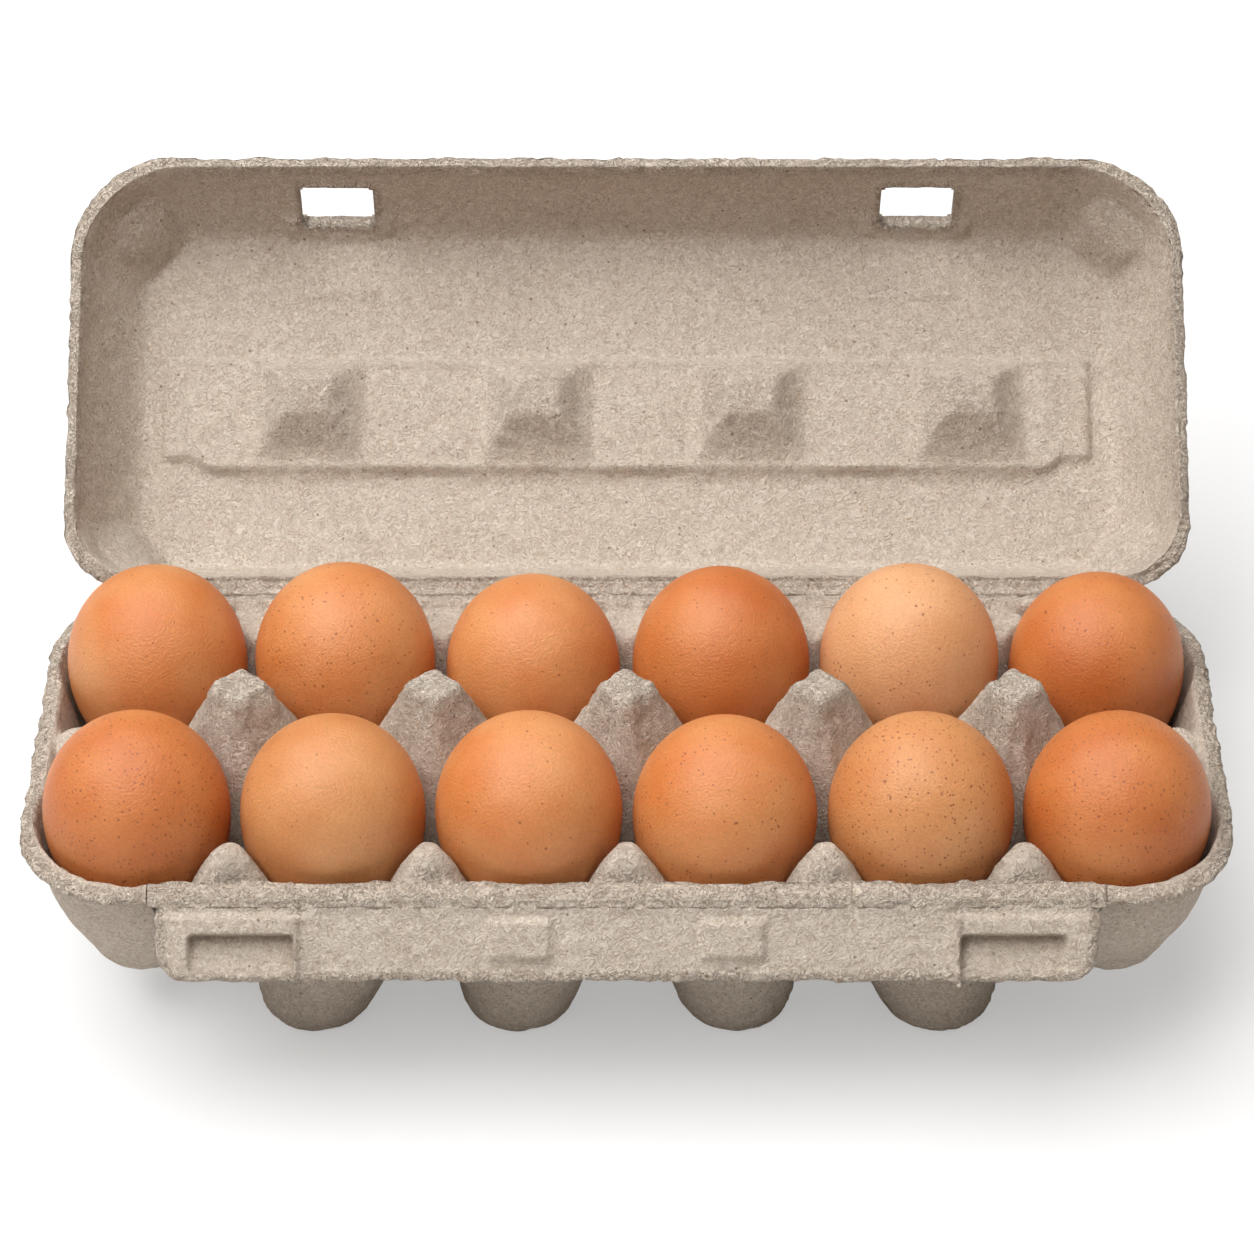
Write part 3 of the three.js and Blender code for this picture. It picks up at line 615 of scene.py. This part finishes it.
def lid_piece():
    grid = LID_GRID
    side_depths = np.arange(LID_DEPTH, -0.1, -grid["depth"])
    side_wall = LID_HALF_X - LID_FLANGE["side"] - LID_DRAFT["side"] * bowed(side_depths)
    window_sides = [WINDOW["x"] - WINDOW["width"] / 2, WINDOW["x"] + WINDOW["width"] / 2]
    half_columns = np.concatenate([
        runs(0, (window_sides[0], grid["x"]), (window_sides[1], grid["window_x"])),
        runs(window_sides[1], (side_wall[0], grid["x"])),
        side_wall,
        arc_columns(LID_HALF_X, LID_CORNER_R["front"], 5),
    ])
    half_columns = np.unique(half_columns.round(1))
    x_line = np.concatenate([-half_columns[:0:-1], half_columns])
    window_depths = runs(WINDOW["low"], (WINDOW["high"], grid["window_depth"]))
    depths = np.unique(np.concatenate([np.arange(0, LID_DEPTH + 0.1, grid["depth"]), window_depths]))
    hinge_wall = LID_START + LID_FLANGE["hinge"] + LID_DRAFT["hinge"] * bowed(depths)
    front_wall = LID_START + LID_LENGTH - LID_FLANGE["front"] - LID_DRAFT["front"] * bowed(depths)
    lines = np.concatenate([
        runs(LID_START, (hinge_wall[0], grid["flange"])),
        hinge_wall,
        runs(hinge_wall[-1], (front_wall[-1], grid["away"])),
        front_wall,
        runs(front_wall[0], (LID_START + LID_LENGTH, grid["flange"])),
    ])
    lines = with_edges(np.unique(lines.round(4)))
    share = (lines - LID_START) / LID_LENGTH
    near = LID_START + corner_drop(x_line, LID_HALF_X, LID_CORNER_R["hinge"])
    far = LID_START + LID_LENGTH - corner_drop(x_line, LID_HALF_X, LID_CORNER_R["front"])
    x = np.tile(x_line, (len(lines), 1))
    away = near[None] + share[:, None] * (far - near)[None]
    depth = lid_inner(x, away)
    inner = np.stack([x, -away, depth + LID_LIFT], -1)
    outward = -grid_normals(inner)
    outward = blurred(outward, OUTWARD_BLUR)
    outward /= np.linalg.norm(outward, axis=-1, keepdims=True)
    outer = inner + outward * PULP
    middle = LID_START + LID_LENGTH / 2
    radius = np.where(away > middle, LID_CORNER_R["front"], LID_CORNER_R["hinge"])
    inset = np.maximum(inset_from(x, away - middle, LID_HALF_X, LID_LENGTH / 2, radius), 0)
    fall = rounded_edge(inset, EDGE_R) + torn_layers(inner, inset, 45)
    in_front = away > FRONT_WALL_AWAY
    lip = np.where(in_front, window_lip(x, depth), 0)
    rough = grows(pyramid_height(x, away), LID_WEAR["pyramid"])
    for stub in STUBS:
        reach = np.hypot(np.abs(x) - stub["x"], away - stub["away"])
        rough = rough + grows(reach, LID_WEAR["stub"])
    band = LID_WEAR["band"]
    from_band_edge = (away - RIB["to"] + band["inset"]) / band["width"]
    rough = rough + band["share"] * np.exp(-(from_band_edge**2)) * (np.abs(x) < RIB["end"])
    rough = np.maximum(LID_WEAR["inside"] * rough, grows(inset, LID_WEAR["edge"]))
    inner_relief = pulp_relief(inner, 41) * INNER_RELIEF + crumble(inner, 47) * rough + lip - fall
    inner_relief = inner_relief - LID_WEAR["sunk_rim"]["drop"] * grows(depth, LID_WEAR["sunk_rim"])
    inner = inner - outward * inner_relief[..., None]
    outer_relief = pulp_relief(outer, 53) - rounded_edge(inset, EDGE_R)
    outer_relief = outer_relief + np.where(in_front, bar_height(x, depth, SILL_BACK), 0)
    outer = outer + outward * outer_relief[..., None]
    centre_x = (x[:-1, :-1] + x[1:, 1:]) / 2
    centre_depth = (depth[:-1, :-1] + depth[1:, 1:]) / 2
    is_window = (window_inset(centre_x, centre_depth) > 0.1) & in_front[:-1, :-1]
    core = (LID_HALF_X - RIM_CORNER_R, LID_LENGTH / 2 - RIM_CORNER_R)
    skins = [ragged(skin, inset, core, -middle, 61) for skin in (outer, inner)]
    # How torn the pulp is: it places the crease lines, which carry painted shade as well as a bump
    cut = grows(window_inset(x, depth), LID_WEAR["window_torn"]) * in_front
    edge_torn = np.maximum(grows(inset, LID_WEAR["edge_torn"]), cut)
    torn = np.maximum(np.clip(LID_WEAR["rough_torn"] * rough, 0, 1), edge_torn)
    return sheet_object("lid_pulp", *skins, placed_at(LID_AXIS, -LID_SHUT_DEG), torn, ~is_window)


# Flap
POCKET = {"inner": 80, "outer": 105, "from": 9.2, "to": 18.2, "drop": 2.8, "low_drop": 0.2, "radius": 1.5}
BLOCK = {"inner": 79.4, "run": 7, "rise": 1.5, "from": 3.2, "full": 5.7}
RIDGE = {"rise": 0.9, "width": 0.7, "full": 7.2}
BUMP = {"inner": 17, "outer": 34, "from": 4.4, "to": 16.2, "rise": 1.5, "run": 2.4}
CREASE = {"away": 1.8, "depth": 0.4, "width": 0.5}
FLAP_LIP = {"start": 3, "full": 1.6, "rise": 0.7}
FLAP_NARROWING = 1.2
RIDGE_TONGUE = {"start": 4, "reach": 1.1, "width": 0.9}
POCKET_BACK = {"rise": 1.1, "margin": 1.2}
FLAP_GRID = {"across": 215, "away": 0.42}
FLAP_WEAR = {
    "ridge": {"share": 0.5, "width": 1.5},
    "fold": {"start": 4, "full": 1.5, "share": 0.5},
    "sunk": {"start": 2, "full": 5, "drop": 0.35},
    "relief": 0.8,
    "layers": 0.6,
    "edge_torn": {"start": 3, "full": 1.5},
}


def flap_half_width(away):
    into = np.clip(away - (FLAP_LENGTH - FLAP_CORNER_R), 0, FLAP_CORNER_R)
    narrowing = FLAP_NARROWING * away / FLAP_LENGTH
    return FLAP_HALF_X - narrowing - FLAP_CORNER_R + np.sqrt(FLAP_CORNER_R**2 - into**2)


def flap_inner(x, away):
    """Height of the flap's face that shows in front, above its middle sheet."""
    across = np.abs(x)
    rise = np.clip((across - BLOCK["inner"] + BLOCK["run"]) / BLOCK["run"], 0, 1) ** 2
    block = BLOCK["rise"] * rise * smooth_step(away, BLOCK["from"], BLOCK["full"])
    crest = smooth_step(away, BLOCK["from"], RIDGE["full"])
    ridge = RIDGE["rise"] * np.exp(-(((across - BLOCK["inner"]) / RIDGE["width"]) ** 2)) * crest
    side = np.minimum(across - BUMP["inner"], BUMP["outer"] - across)
    end = np.minimum(away - BUMP["from"], BUMP["to"] - away)
    bump = BUMP["rise"] * smooth_step(side, 0, BUMP["run"]) * smooth_step(end, 0, BUMP["run"])
    crease = -CREASE["depth"] * np.exp(-(((away - CREASE["away"]) / CREASE["width"]) ** 2))
    lip = FLAP_LIP["rise"] * smooth_step(FLAP_LENGTH - away, FLAP_LIP["start"], FLAP_LIP["full"])
    share = pocket_share(across, away, 0)
    lowering = np.clip((away - POCKET["from"]) / (POCKET["to"] - POCKET["from"]), 0, 1)
    drop = POCKET["drop"] + (POCKET["low_drop"] - POCKET["drop"]) * lowering
    return (np.maximum(block, bump) + ridge + crease + lip) * (1 - share) - drop * share


def pocket_share(across, away, margin):
    """1 in the pocket, 0 outside it, with round corners."""
    middle_x = (POCKET["inner"] + POCKET["outer"]) / 2
    middle_away = (POCKET["from"] + POCKET["to"]) / 2
    half_x = (POCKET["outer"] - POCKET["inner"]) / 2 + margin
    half_away = (POCKET["to"] - POCKET["from"]) / 2 + margin
    inset = inset_from(across - middle_x, away - middle_away, half_x, half_away, POCKET["radius"])
    return smooth_step(inset, -0.5, 0.5)


def flap_outer(x, away):
    return -PULP - POCKET_BACK["rise"] * pocket_share(np.abs(x), away, POCKET_BACK["margin"])


def flap_piece():
    half = np.linspace(0, 1, FLAP_GRID["across"])
    x_share = np.concatenate([-half[:0:-1], half])
    lines = with_edges(runs(FLAP_START, (FLAP_LENGTH, FLAP_GRID["away"])))
    away = np.tile(lines[:, None], (1, len(x_share)))
    width = flap_half_width(away)
    x = x_share[None] * width
    near_tip = smooth_step(FLAP_LENGTH - away, RIDGE_TONGUE["start"], 0)
    from_ridge = np.abs(x) - BLOCK["inner"]
    away = away + RIDGE_TONGUE["reach"] * np.exp(-((from_ridge / RIDGE_TONGUE["width"]) ** 2)) * near_tip
    upper = np.stack([x, -away, flap_inner(x, away) + PULP / 2], -1)
    lower = np.stack([x, -away, flap_outer(x, away) + PULP / 2], -1)
    inset = np.maximum(np.minimum(width - np.abs(x), FLAP_LENGTH - away), 0)
    fall = rounded_edge(inset, EDGE_R)
    wear = FLAP_WEAR
    upper[..., 2] -= fall + wear["layers"] * torn_layers(upper, inset, 75)
    lower[..., 2] += fall
    rough = wear["ridge"]["share"] * np.exp(-((from_ridge / wear["ridge"]["width"]) ** 2))
    rough = rough + grows(away, wear["fold"])
    relief = pulp_relief(upper, 71) * wear["relief"] + crumble(upper, 77) * rough
    upper[..., 2] += relief - wear["sunk"]["drop"] * grows(away, wear["sunk"])
    lower[..., 2] -= pulp_relief(lower, 83)
    core = (FLAP_HALF_X - RIM_CORNER_R, 0)
    skins = [ragged(skin, inset, core, -FLAP_LENGTH / 2, 91) for skin in (upper, lower)]
    # How torn the pulp is: it places the crease lines, which carry painted shade as well as a bump
    torn = np.maximum(np.clip(rough, 0, 1), grows(inset, wear["edge_torn"]))
    return sheet_object("flap_pulp", *skins, placed_at(FLAP_AXIS, FLAP_HANG_DEG), torn)


# Hinge strips: bent pulp between the tray and what turns on it
STRIPS = {
    "lid": {
        "name": "lid_hinge_pulp", "seed": 101, "axis": LID_AXIS, "turn_deg": -LID_SHUT_DEG,
        "on_tray": [(54.6, 59.0), (56.3, 59.0)], "on_part": (0.6, 1.8), "height": 1.2,
        "half_x": 123, "thickness": 1.9, "fold_at": 2.2,
    },
    "flap": {
        "name": "flap_hinge_pulp", "seed": 111, "axis": FLAP_AXIS, "turn_deg": FLAP_HANG_DEG,
        "on_tray": [(-52.9, 59.0), (-54.4, 59.0), (-55.8, 58.7)], "on_part": (1.2, 2.6), "height": 0,
        "half_x": RECESS_HALF_X + 0.4, "thickness": 2.1, "fold_at": 9,
    },
}
STRIP_LINES = 13
STRIP_FOLD = {"thinner": 0.35, "width": 0.7}
STRIP_RELIEF = 0.7
# The strips are torn to this share all over, so their crease lines carry painted shade too
STRIP_TORN = 0.7


def strip_piece(strip, line):
    """A bent strip along X. Its cross-section follows a line of points (y, z) and is thinned at the fold."""
    line = np.array(line, float)
    along = np.concatenate([[0], np.cumsum(np.hypot(*np.diff(line, axis=0).T))])
    places = np.linspace(0, along[-1], STRIP_LINES)
    y = np.interp(places, along, line[:, 0])
    z = np.interp(places, along, line[:, 1])
    normal = np.stack([-np.gradient(z), np.gradient(y)], -1) * np.sign(y[-1] - y[0])
    normal = normal / np.linalg.norm(normal, axis=1, keepdims=True)
    x = runs(-strip["half_x"], (strip["half_x"], 1))
    from_fold = (places - strip["fold_at"]) / STRIP_FOLD["width"]
    thin = 1 - STRIP_FOLD["thinner"] * np.exp(-(from_fold**2))
    skins = []
    for side in (1, -1):
        offset = side * strip["thickness"] / 2 * thin
        points = np.zeros((len(places), len(x), 3))
        points[..., 0] = x[None]
        points[..., 1] = (y + normal[:, 0] * offset)[:, None]
        points[..., 2] = (z + normal[:, 1] * offset)[:, None]
        relief = pulp_relief(points, strip["seed"] + side) + crumble(points, strip["seed"] + 7) * side
        relief = relief * STRIP_RELIEF
        points[..., 1] += normal[:, 0, None] * relief
        points[..., 2] += normal[:, 1, None] * relief
        skins.append(points)
    return sheet_object(strip["name"], *skins, placed_at((0, TRAY_Y, 0), 0), STRIP_TORN)


def turned(y, z, axis, deg):
    """A point of the lid or flap, as far from its axis as y and z say, in the tray's frame."""
    angle = math.radians(deg)
    return (
        axis.y - TRAY_Y + y * math.cos(angle) - z * math.sin(angle),
        axis.z + y * math.sin(angle) + z * math.cos(angle),
    )


def strip_line(strip):
    """The strip's points (y, z), from the tray to the part that turns."""
    turning = [turned(-away, strip["height"], strip["axis"], strip["turn_deg"]) for away in strip["on_part"]]
    return strip["on_tray"] + turning


# Eggs, back row first, from left to right: diameter, length, shell slot, speckle share, tint
EGGS = [
    (45.6, 57.6, "shell_orange", 0.1, 0.35), (45.8, 58.2, "shell_orange", 0.5, 0.1),
    (44.4, 57.2, "shell_orange", 0.1, -0.1), (45.2, 58.6, "shell_deep", 0.3, 0.1),
    (45.6, 58.4, "shell_pale", 0.3, 0.0), (44.6, 57.6, "shell_deep", 0.3, 0.2),
    (45.9, 57.6, "shell_deep", 0.9, 0.1), (45.4, 57.8, "shell_tan", 0.1, 0.0),
    (45.9, 57.4, "shell_orange", 0.15, -0.2), (45.2, 58.0, "shell_orange", 0.5, -0.2),
    (45.7, 57.6, "shell_tan", 1.0, 0.1), (45.9, 57.2, "shell_deep", 0.9, -0.2),
]
EGG_BLUNTNESS = 0.1
EGG_RINGS = 72
EGG_SIDES = 112
EGG_UNEVEN = (0.004, 24)


def egg_piece(number, diameter, length):
    low, high = (Vector(corner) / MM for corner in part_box(f"egg_{number}"))
    centre = (low + high) / 2
    share = -np.cos(np.pi * np.arange(EGG_RINGS + 1) / EGG_RINGS)
    radius = diameter / 2 * np.sqrt(np.clip(1 - share**2, 0, 1))
    radius = radius * (1 + EGG_BLUNTNESS * share) / (1 + EGG_BLUNTNESS**2 / 2)
    angle = 2 * np.pi * np.arange(EGG_SIDES) / EGG_SIDES
    x = radius[1:-1, None] * np.cos(angle)[None]
    y = radius[1:-1, None] * np.sin(angle)[None]
    z = np.tile((share[1:-1] * length / 2)[:, None], (1, EGG_SIDES))
    body = np.stack([x, y, z], -1)
    body = body * (1 + waves(body + number * 50, EGG_UNEVEN, 7))[..., None]
    body = body.reshape(-1, 3)
    poles = np.array([[0, 0, -length / 2], [0, 0, length / 2]])
    points = np.concatenate([body, poles]) + np.array(centre)
    index = np.arange(len(body)).reshape(EGG_RINGS - 1, EGG_SIDES)
    ahead = np.roll(index, -1, axis=1)
    quads = np.stack([index[:-1], ahead[:-1], ahead[1:], index[1:]], -1).reshape(-1, 4).tolist()
    bottom, top = len(body), len(body) + 1
    caps = [[bottom, int(b), int(a)] for a, b in zip(index[0], ahead[0])]
    caps += [[top, int(a), int(b)] for a, b in zip(index[-1], ahead[-1])]
    return mesh_object(f"egg_{number}_shell", points, quads + caps)


# Materials
def new_material(name):
    material = bpy.data.materials.new(name)
    material.use_nodes = True
    return material, material.node_tree.nodes, material.node_tree.links


def linear(*colour):
    """A colour given as it looks, 11 to 255 a channel, as the shader takes it."""
    return tuple(((channel / 255 + 0.055) / 1.055) ** 2.4 for channel in colour) + (1,)


def add(nodes, kind, **values):
    node = nodes.new(kind)
    for key, value in values.items():
        if key in node.inputs.keys():
            node.inputs[key].default_value = value
        else:
            setattr(node, key, value)
    return node


def ramp(nodes, links, source, stops):
    node = nodes.new("ShaderNodeValToRGB")
    elements = node.color_ramp.elements
    while len(elements) < len(stops):
        elements.new(0.5)
    for element, (place, colour) in zip(elements, stops):
        element.position = place
        element.color = colour if isinstance(colour, tuple) else (colour, colour, colour, 1)
    links.new(source, node.inputs[0])
    return node.outputs[0]


def mix(nodes, links, share, first, second, blend="MIX"):
    node = nodes.new("ShaderNodeMix")
    node.data_type = "RGBA"
    node.blend_type = blend
    for socket, value in ((node.inputs[0], share), (node.inputs[6], first), (node.inputs[7], second)):
        if isinstance(value, (int, float, tuple)):
            socket.default_value = value
        else:
            links.new(value, socket)
    return node.outputs[2]


def scaled_coordinates(nodes, links):
    """Object coordinates in millimetres."""
    place = nodes.new("ShaderNodeTexCoord")
    scale = add(nodes, "ShaderNodeVectorMath", operation="SCALE", Scale=1000.0)
    links.new(place.outputs["Object"], scale.inputs[0])
    return scale.outputs[0]


def noise_texture(nodes, links, where, **values):
    node = add(nodes, "ShaderNodeTexNoise", **values)
    links.new(where, node.inputs["Vector"])
    return node.outputs[0]


def dots(nodes, links, where, scale, channel, rarity_stops, edge_stops):
    """Round dots in some cells of a cell pattern: which cells, then how each dot fades out."""
    cell = add(nodes, "ShaderNodeTexVoronoi", Scale=scale, Randomness=1.0)
    links.new(where, cell.inputs["Vector"])
    rarity = nodes.new("ShaderNodeSeparateColor")
    links.new(cell.outputs["Color"], rarity.inputs[0])
    chosen = ramp(nodes, links, rarity.outputs[channel], rarity_stops)
    dot = ramp(nodes, links, cell.outputs["Distance"], edge_stops)
    return mix(nodes, links, 1.0, dot, chosen, "MULTIPLY")


def bump_node(nodes, links, height, strength, distance, below=None):
    node = add(nodes, "ShaderNodeBump", Strength=strength, Distance=distance)
    links.new(height, node.inputs["Height"])
    if below is not None:
        links.new(below.outputs[0], node.inputs["Normal"])
    return node


PULP_TONES = {
    "base": (linear(190, 175, 159), linear(206, 193, 178)),
    "light_fibre": linear(224, 214, 201),
    "dark_fibre": linear(156, 130, 106),
    "fleck": linear(112, 84, 60),
    # The darker tone of the crease lines is painted shade for the creases of the torn pulp
    "shaded_crease": linear(138, 110, 84),
}
# How far the crease lines are darkened towards that tone: painted shade in the creases
CREASE_SHADE_SHARE = (0.3, 0.3, 0.3, 1)
FLECK_SCALE = 0.42


def pulp_material():
    material, nodes, links = new_material("pulp")
    shader = nodes["Principled BSDF"]
    where = scaled_coordinates(nodes, links)
    blotches = noise_texture(nodes, links, where, Scale=0.06, Detail=4.0)
    mottle = noise_texture(nodes, links, where, Scale=0.5, Detail=3.0, Roughness=0.6, Distortion=1.0)
    fibres = noise_texture(nodes, links, where, Scale=0.75, Detail=2.5, Roughness=0.5, Distortion=1.9)
    base = mix(nodes, links, blotches, *PULP_TONES["base"])
    shade = ramp(nodes, links, mottle, [(0.32, 0.82), (0.66, 1.09)])
    base = mix(nodes, links, 0.8, base, shade, "MULTIPLY")
    light_fibre = ramp(nodes, links, fibres, [(0.53, 0.0), (0.6, 0.5)])
    base = mix(nodes, links, light_fibre, base, PULP_TONES["light_fibre"])
    dark_fibre = ramp(nodes, links, fibres, [(0.35, 0.42), (0.45, 0.0)])
    base = mix(nodes, links, dark_fibre, base, PULP_TONES["dark_fibre"])
    fleck = dots(nodes, links, where, FLECK_SCALE, 0, [(0.86, 0.0), (0.88, 1.0)], [(0.1, 0.7), (0.2, 0.0)])
    base = mix(nodes, links, fleck, base, PULP_TONES["fleck"])
    # Dark lines in a wrinkle pattern where the pulp is torn: painted shade in its creases, with a bump along
    # the same lines
    torn = add(nodes, "ShaderNodeAttribute", attribute_name="torn")
    wrinkles = noise_texture(nodes, links, where, Scale=0.42, Detail=3.0, Distortion=2.2)
    shaded_crease = ramp(nodes, links, wrinkles, [(0.44, 0.0), (0.49, 1.0), (0.51, 1.0), (0.56, 0.0)])
    shaded_crease = mix(nodes, links, 1.0, shaded_crease, torn.outputs["Fac"], "MULTIPLY")
    painted_crease_shade = mix(nodes, links, 1.0, shaded_crease, CREASE_SHADE_SHARE, "MULTIPLY")
    base = mix(nodes, links, painted_crease_shade, base, PULP_TONES["shaded_crease"])
    links.new(base, shader.inputs["Base Color"])
    shader.inputs["Roughness"].default_value = 0.93
    shader.inputs["Specular IOR Level"].default_value = 0.2
    fine = noise_texture(nodes, links, where, Scale=2.6, Detail=4.0, Distortion=1.5)
    lumps = bump_node(nodes, links, fibres, strength=0.7, distance=0.001)
    grain = bump_node(nodes, links, fine, strength=0.6, distance=0.0004, below=lumps)
    cracks = bump_node(nodes, links, shaded_crease, strength=0.8, distance=0.0005, below=grain)
    cracks.invert = True
    links.new(cracks.outputs[0], shader.inputs["Normal"])
    return material


# The lighter and the darker tone of each kind of shell
SHELLS = {
    "shell_orange": (linear(217, 147, 90), linear(205, 120, 59)),
    "shell_deep": (linear(210, 131, 71), linear(194, 105, 45)),
    "shell_tan": (linear(215, 151, 96), linear(201, 128, 71)),
    "shell_pale": (linear(228, 172, 125), linear(215, 151, 99)),
}
# Speckles, from fine to coarse: cells a millimetre, size in a cell, share of the cells
SPECKLES = ((0.8, 0.27, 0.5), (0.45, 0.2, 0.35), (0.2, 0.12, 0.25))
SPECKLE_TONE = linear(140, 72, 36)


def shell_material(number, tone, speckle, tint):
    material, nodes, links = new_material(f"eggshell_{number}")
    shader = nodes["Principled BSDF"]
    where = scaled_coordinates(nodes, links)
    shift = add(nodes, "ShaderNodeVectorMath", operation="ADD")
    shift.inputs[1].default_value = (number * 61.0, number * 37.0, number * 13.0)
    links.new(where, shift.inputs[0])
    where = shift.outputs[0]
    light, dark = SHELLS[tone]
    patches = noise_texture(nodes, links, where, Scale=0.05, Detail=3.0)
    patches = ramp(nodes, links, patches, [(0.3 - 0.1 * tint, 0.0), (0.7 - 0.1 * tint, 1.0)])
    base = mix(nodes, links, patches, light, dark)
    pores = noise_texture(nodes, links, where, Scale=1.6, Detail=3.0, Roughness=0.6)
    pore_shade = ramp(nodes, links, pores, [(0.35, 0.9), (0.6, 1.04)])
    base = mix(nodes, links, 1.0, base, pore_shade, "MULTIPLY")
    for scale, size, share in SPECKLES:
        rarest = 1 - share * speckle
        chosen = [(rarest, 0.0), (rarest + 0.02, 0.8)]
        speck = dots(nodes, links, where, scale, 1, chosen, [(size * 0.6, 1.0), (size, 0.0)])
        base = mix(nodes, links, speck, base, SPECKLE_TONE)
    links.new(base, shader.inputs["Base Color"])
    shader.inputs["Roughness"].default_value = 0.48
    shader.inputs["Specular IOR Level"].default_value = 0.6
    shader.inputs["Subsurface Weight"].default_value = 0.06
    shader.inputs["Subsurface Radius"].default_value = (1.0, 0.45, 0.2)
    shader.inputs["Subsurface Scale"].default_value = 0.002
    bump = bump_node(nodes, links, pores, strength=0.4, distance=0.0008)
    links.new(bump.outputs[0], shader.inputs["Normal"])
    return material


# Assembly
PULP_FINISH = pulp_material()


def dress(piece, body, node, material):
    piece.data.materials.append(material)
    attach(piece, body)
    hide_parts(node)


dress(tray_piece(), "tray", "tray", PULP_FINISH)
dress(lid_piece(), "lid", "lid", PULP_FINISH)
dress(flap_piece(), "flap", "flap", PULP_FINISH)
for body, strip in STRIPS.items():
    line = strip_line(strip)
    bent = strip_piece(strip, line)
    bent.data.materials.append(PULP_FINISH)
    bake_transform(bent)
for number, (diameter, length, tone, speckle, tint) in enumerate(EGGS, start=1):
    shell = egg_piece(number, diameter, length)
    dress(shell, "tray", f"egg_{number}", shell_material(number, tone, speckle, tint))


# Stage: a white floor that glows a little to the camera, three lights and a warm, dim surround
FLOOR = {"size": 12, "white": (0.8, 0.8, 0.8, 1), "glow": 1.25, "glow_share": 0.32}
SURROUND = {"colour": (1, 0.87, 0.74, 1), "strength": 0.16}
LIGHTS = {
    "key": {"place": (-0.47, 0.12, 1.65), "aim": (0, 0, 0.03), "size": 1.9, "watts": 40},
    "front": {"place": (-0.5, -0.65, 1.2), "aim": (0, -0.1, 0.05), "size": 0.7, "watts": 6},
    "side": {"place": (1.3, 0, 0.9), "aim": (0.15, 0, 0), "size": 0.8, "watts": 1.8},
}
KEY_COLOUR = (0.98, 0.99, 1)


def make_stage():
    bpy.ops.mesh.primitive_plane_add(size=FLOOR["size"], location=(0, 0, 0))
    floor = bpy.context.object
    floor.name = "floor"
    material, nodes, links = new_material("floor")
    diffuse = nodes["Principled BSDF"]
    diffuse.inputs["Base Color"].default_value = FLOOR["white"]
    diffuse.inputs["Roughness"].default_value = 0.9
    glow = add(nodes, "ShaderNodeEmission", Strength=FLOOR["glow"])
    seen = nodes.new("ShaderNodeLightPath")
    share = add(nodes, "ShaderNodeMath", operation="MULTIPLY")
    share.inputs[1].default_value = FLOOR["glow_share"]
    links.new(seen.outputs["Is Camera Ray"], share.inputs[0])
    blend = nodes.new("ShaderNodeMixShader")
    links.new(share.outputs[0], blend.inputs[0])
    links.new(diffuse.outputs[0], blend.inputs[1])
    links.new(glow.outputs[0], blend.inputs[2])
    links.new(blend.outputs[0], nodes["Material Output"].inputs["Surface"])
    floor.data.materials.append(material)


def area_light(name, place, aim, size, watts):
    data = bpy.data.lights.new(name, "AREA")
    data.shape = "DISK"
    data.size = size
    data.energy = watts
    light = bpy.data.objects.new(name, data)
    light.location = place
    light.rotation_euler = (Vector(aim) - Vector(place)).to_track_quat("-Z", "Y").to_euler()
    bpy.context.collection.objects.link(light)


make_stage()
for name, light in LIGHTS.items():
    area_light(name, **light)
bpy.data.lights["key"].color = KEY_COLOUR
world = bpy.data.worlds.new("surround")
world.use_nodes = True
background = world.node_tree.nodes["Background"]
background.inputs["Color"].default_value = SURROUND["colour"]
background.inputs["Strength"].default_value = SURROUND["strength"]
bpy.context.scene.world = world
bpy.context.scene.view_settings.view_transform = "Standard"
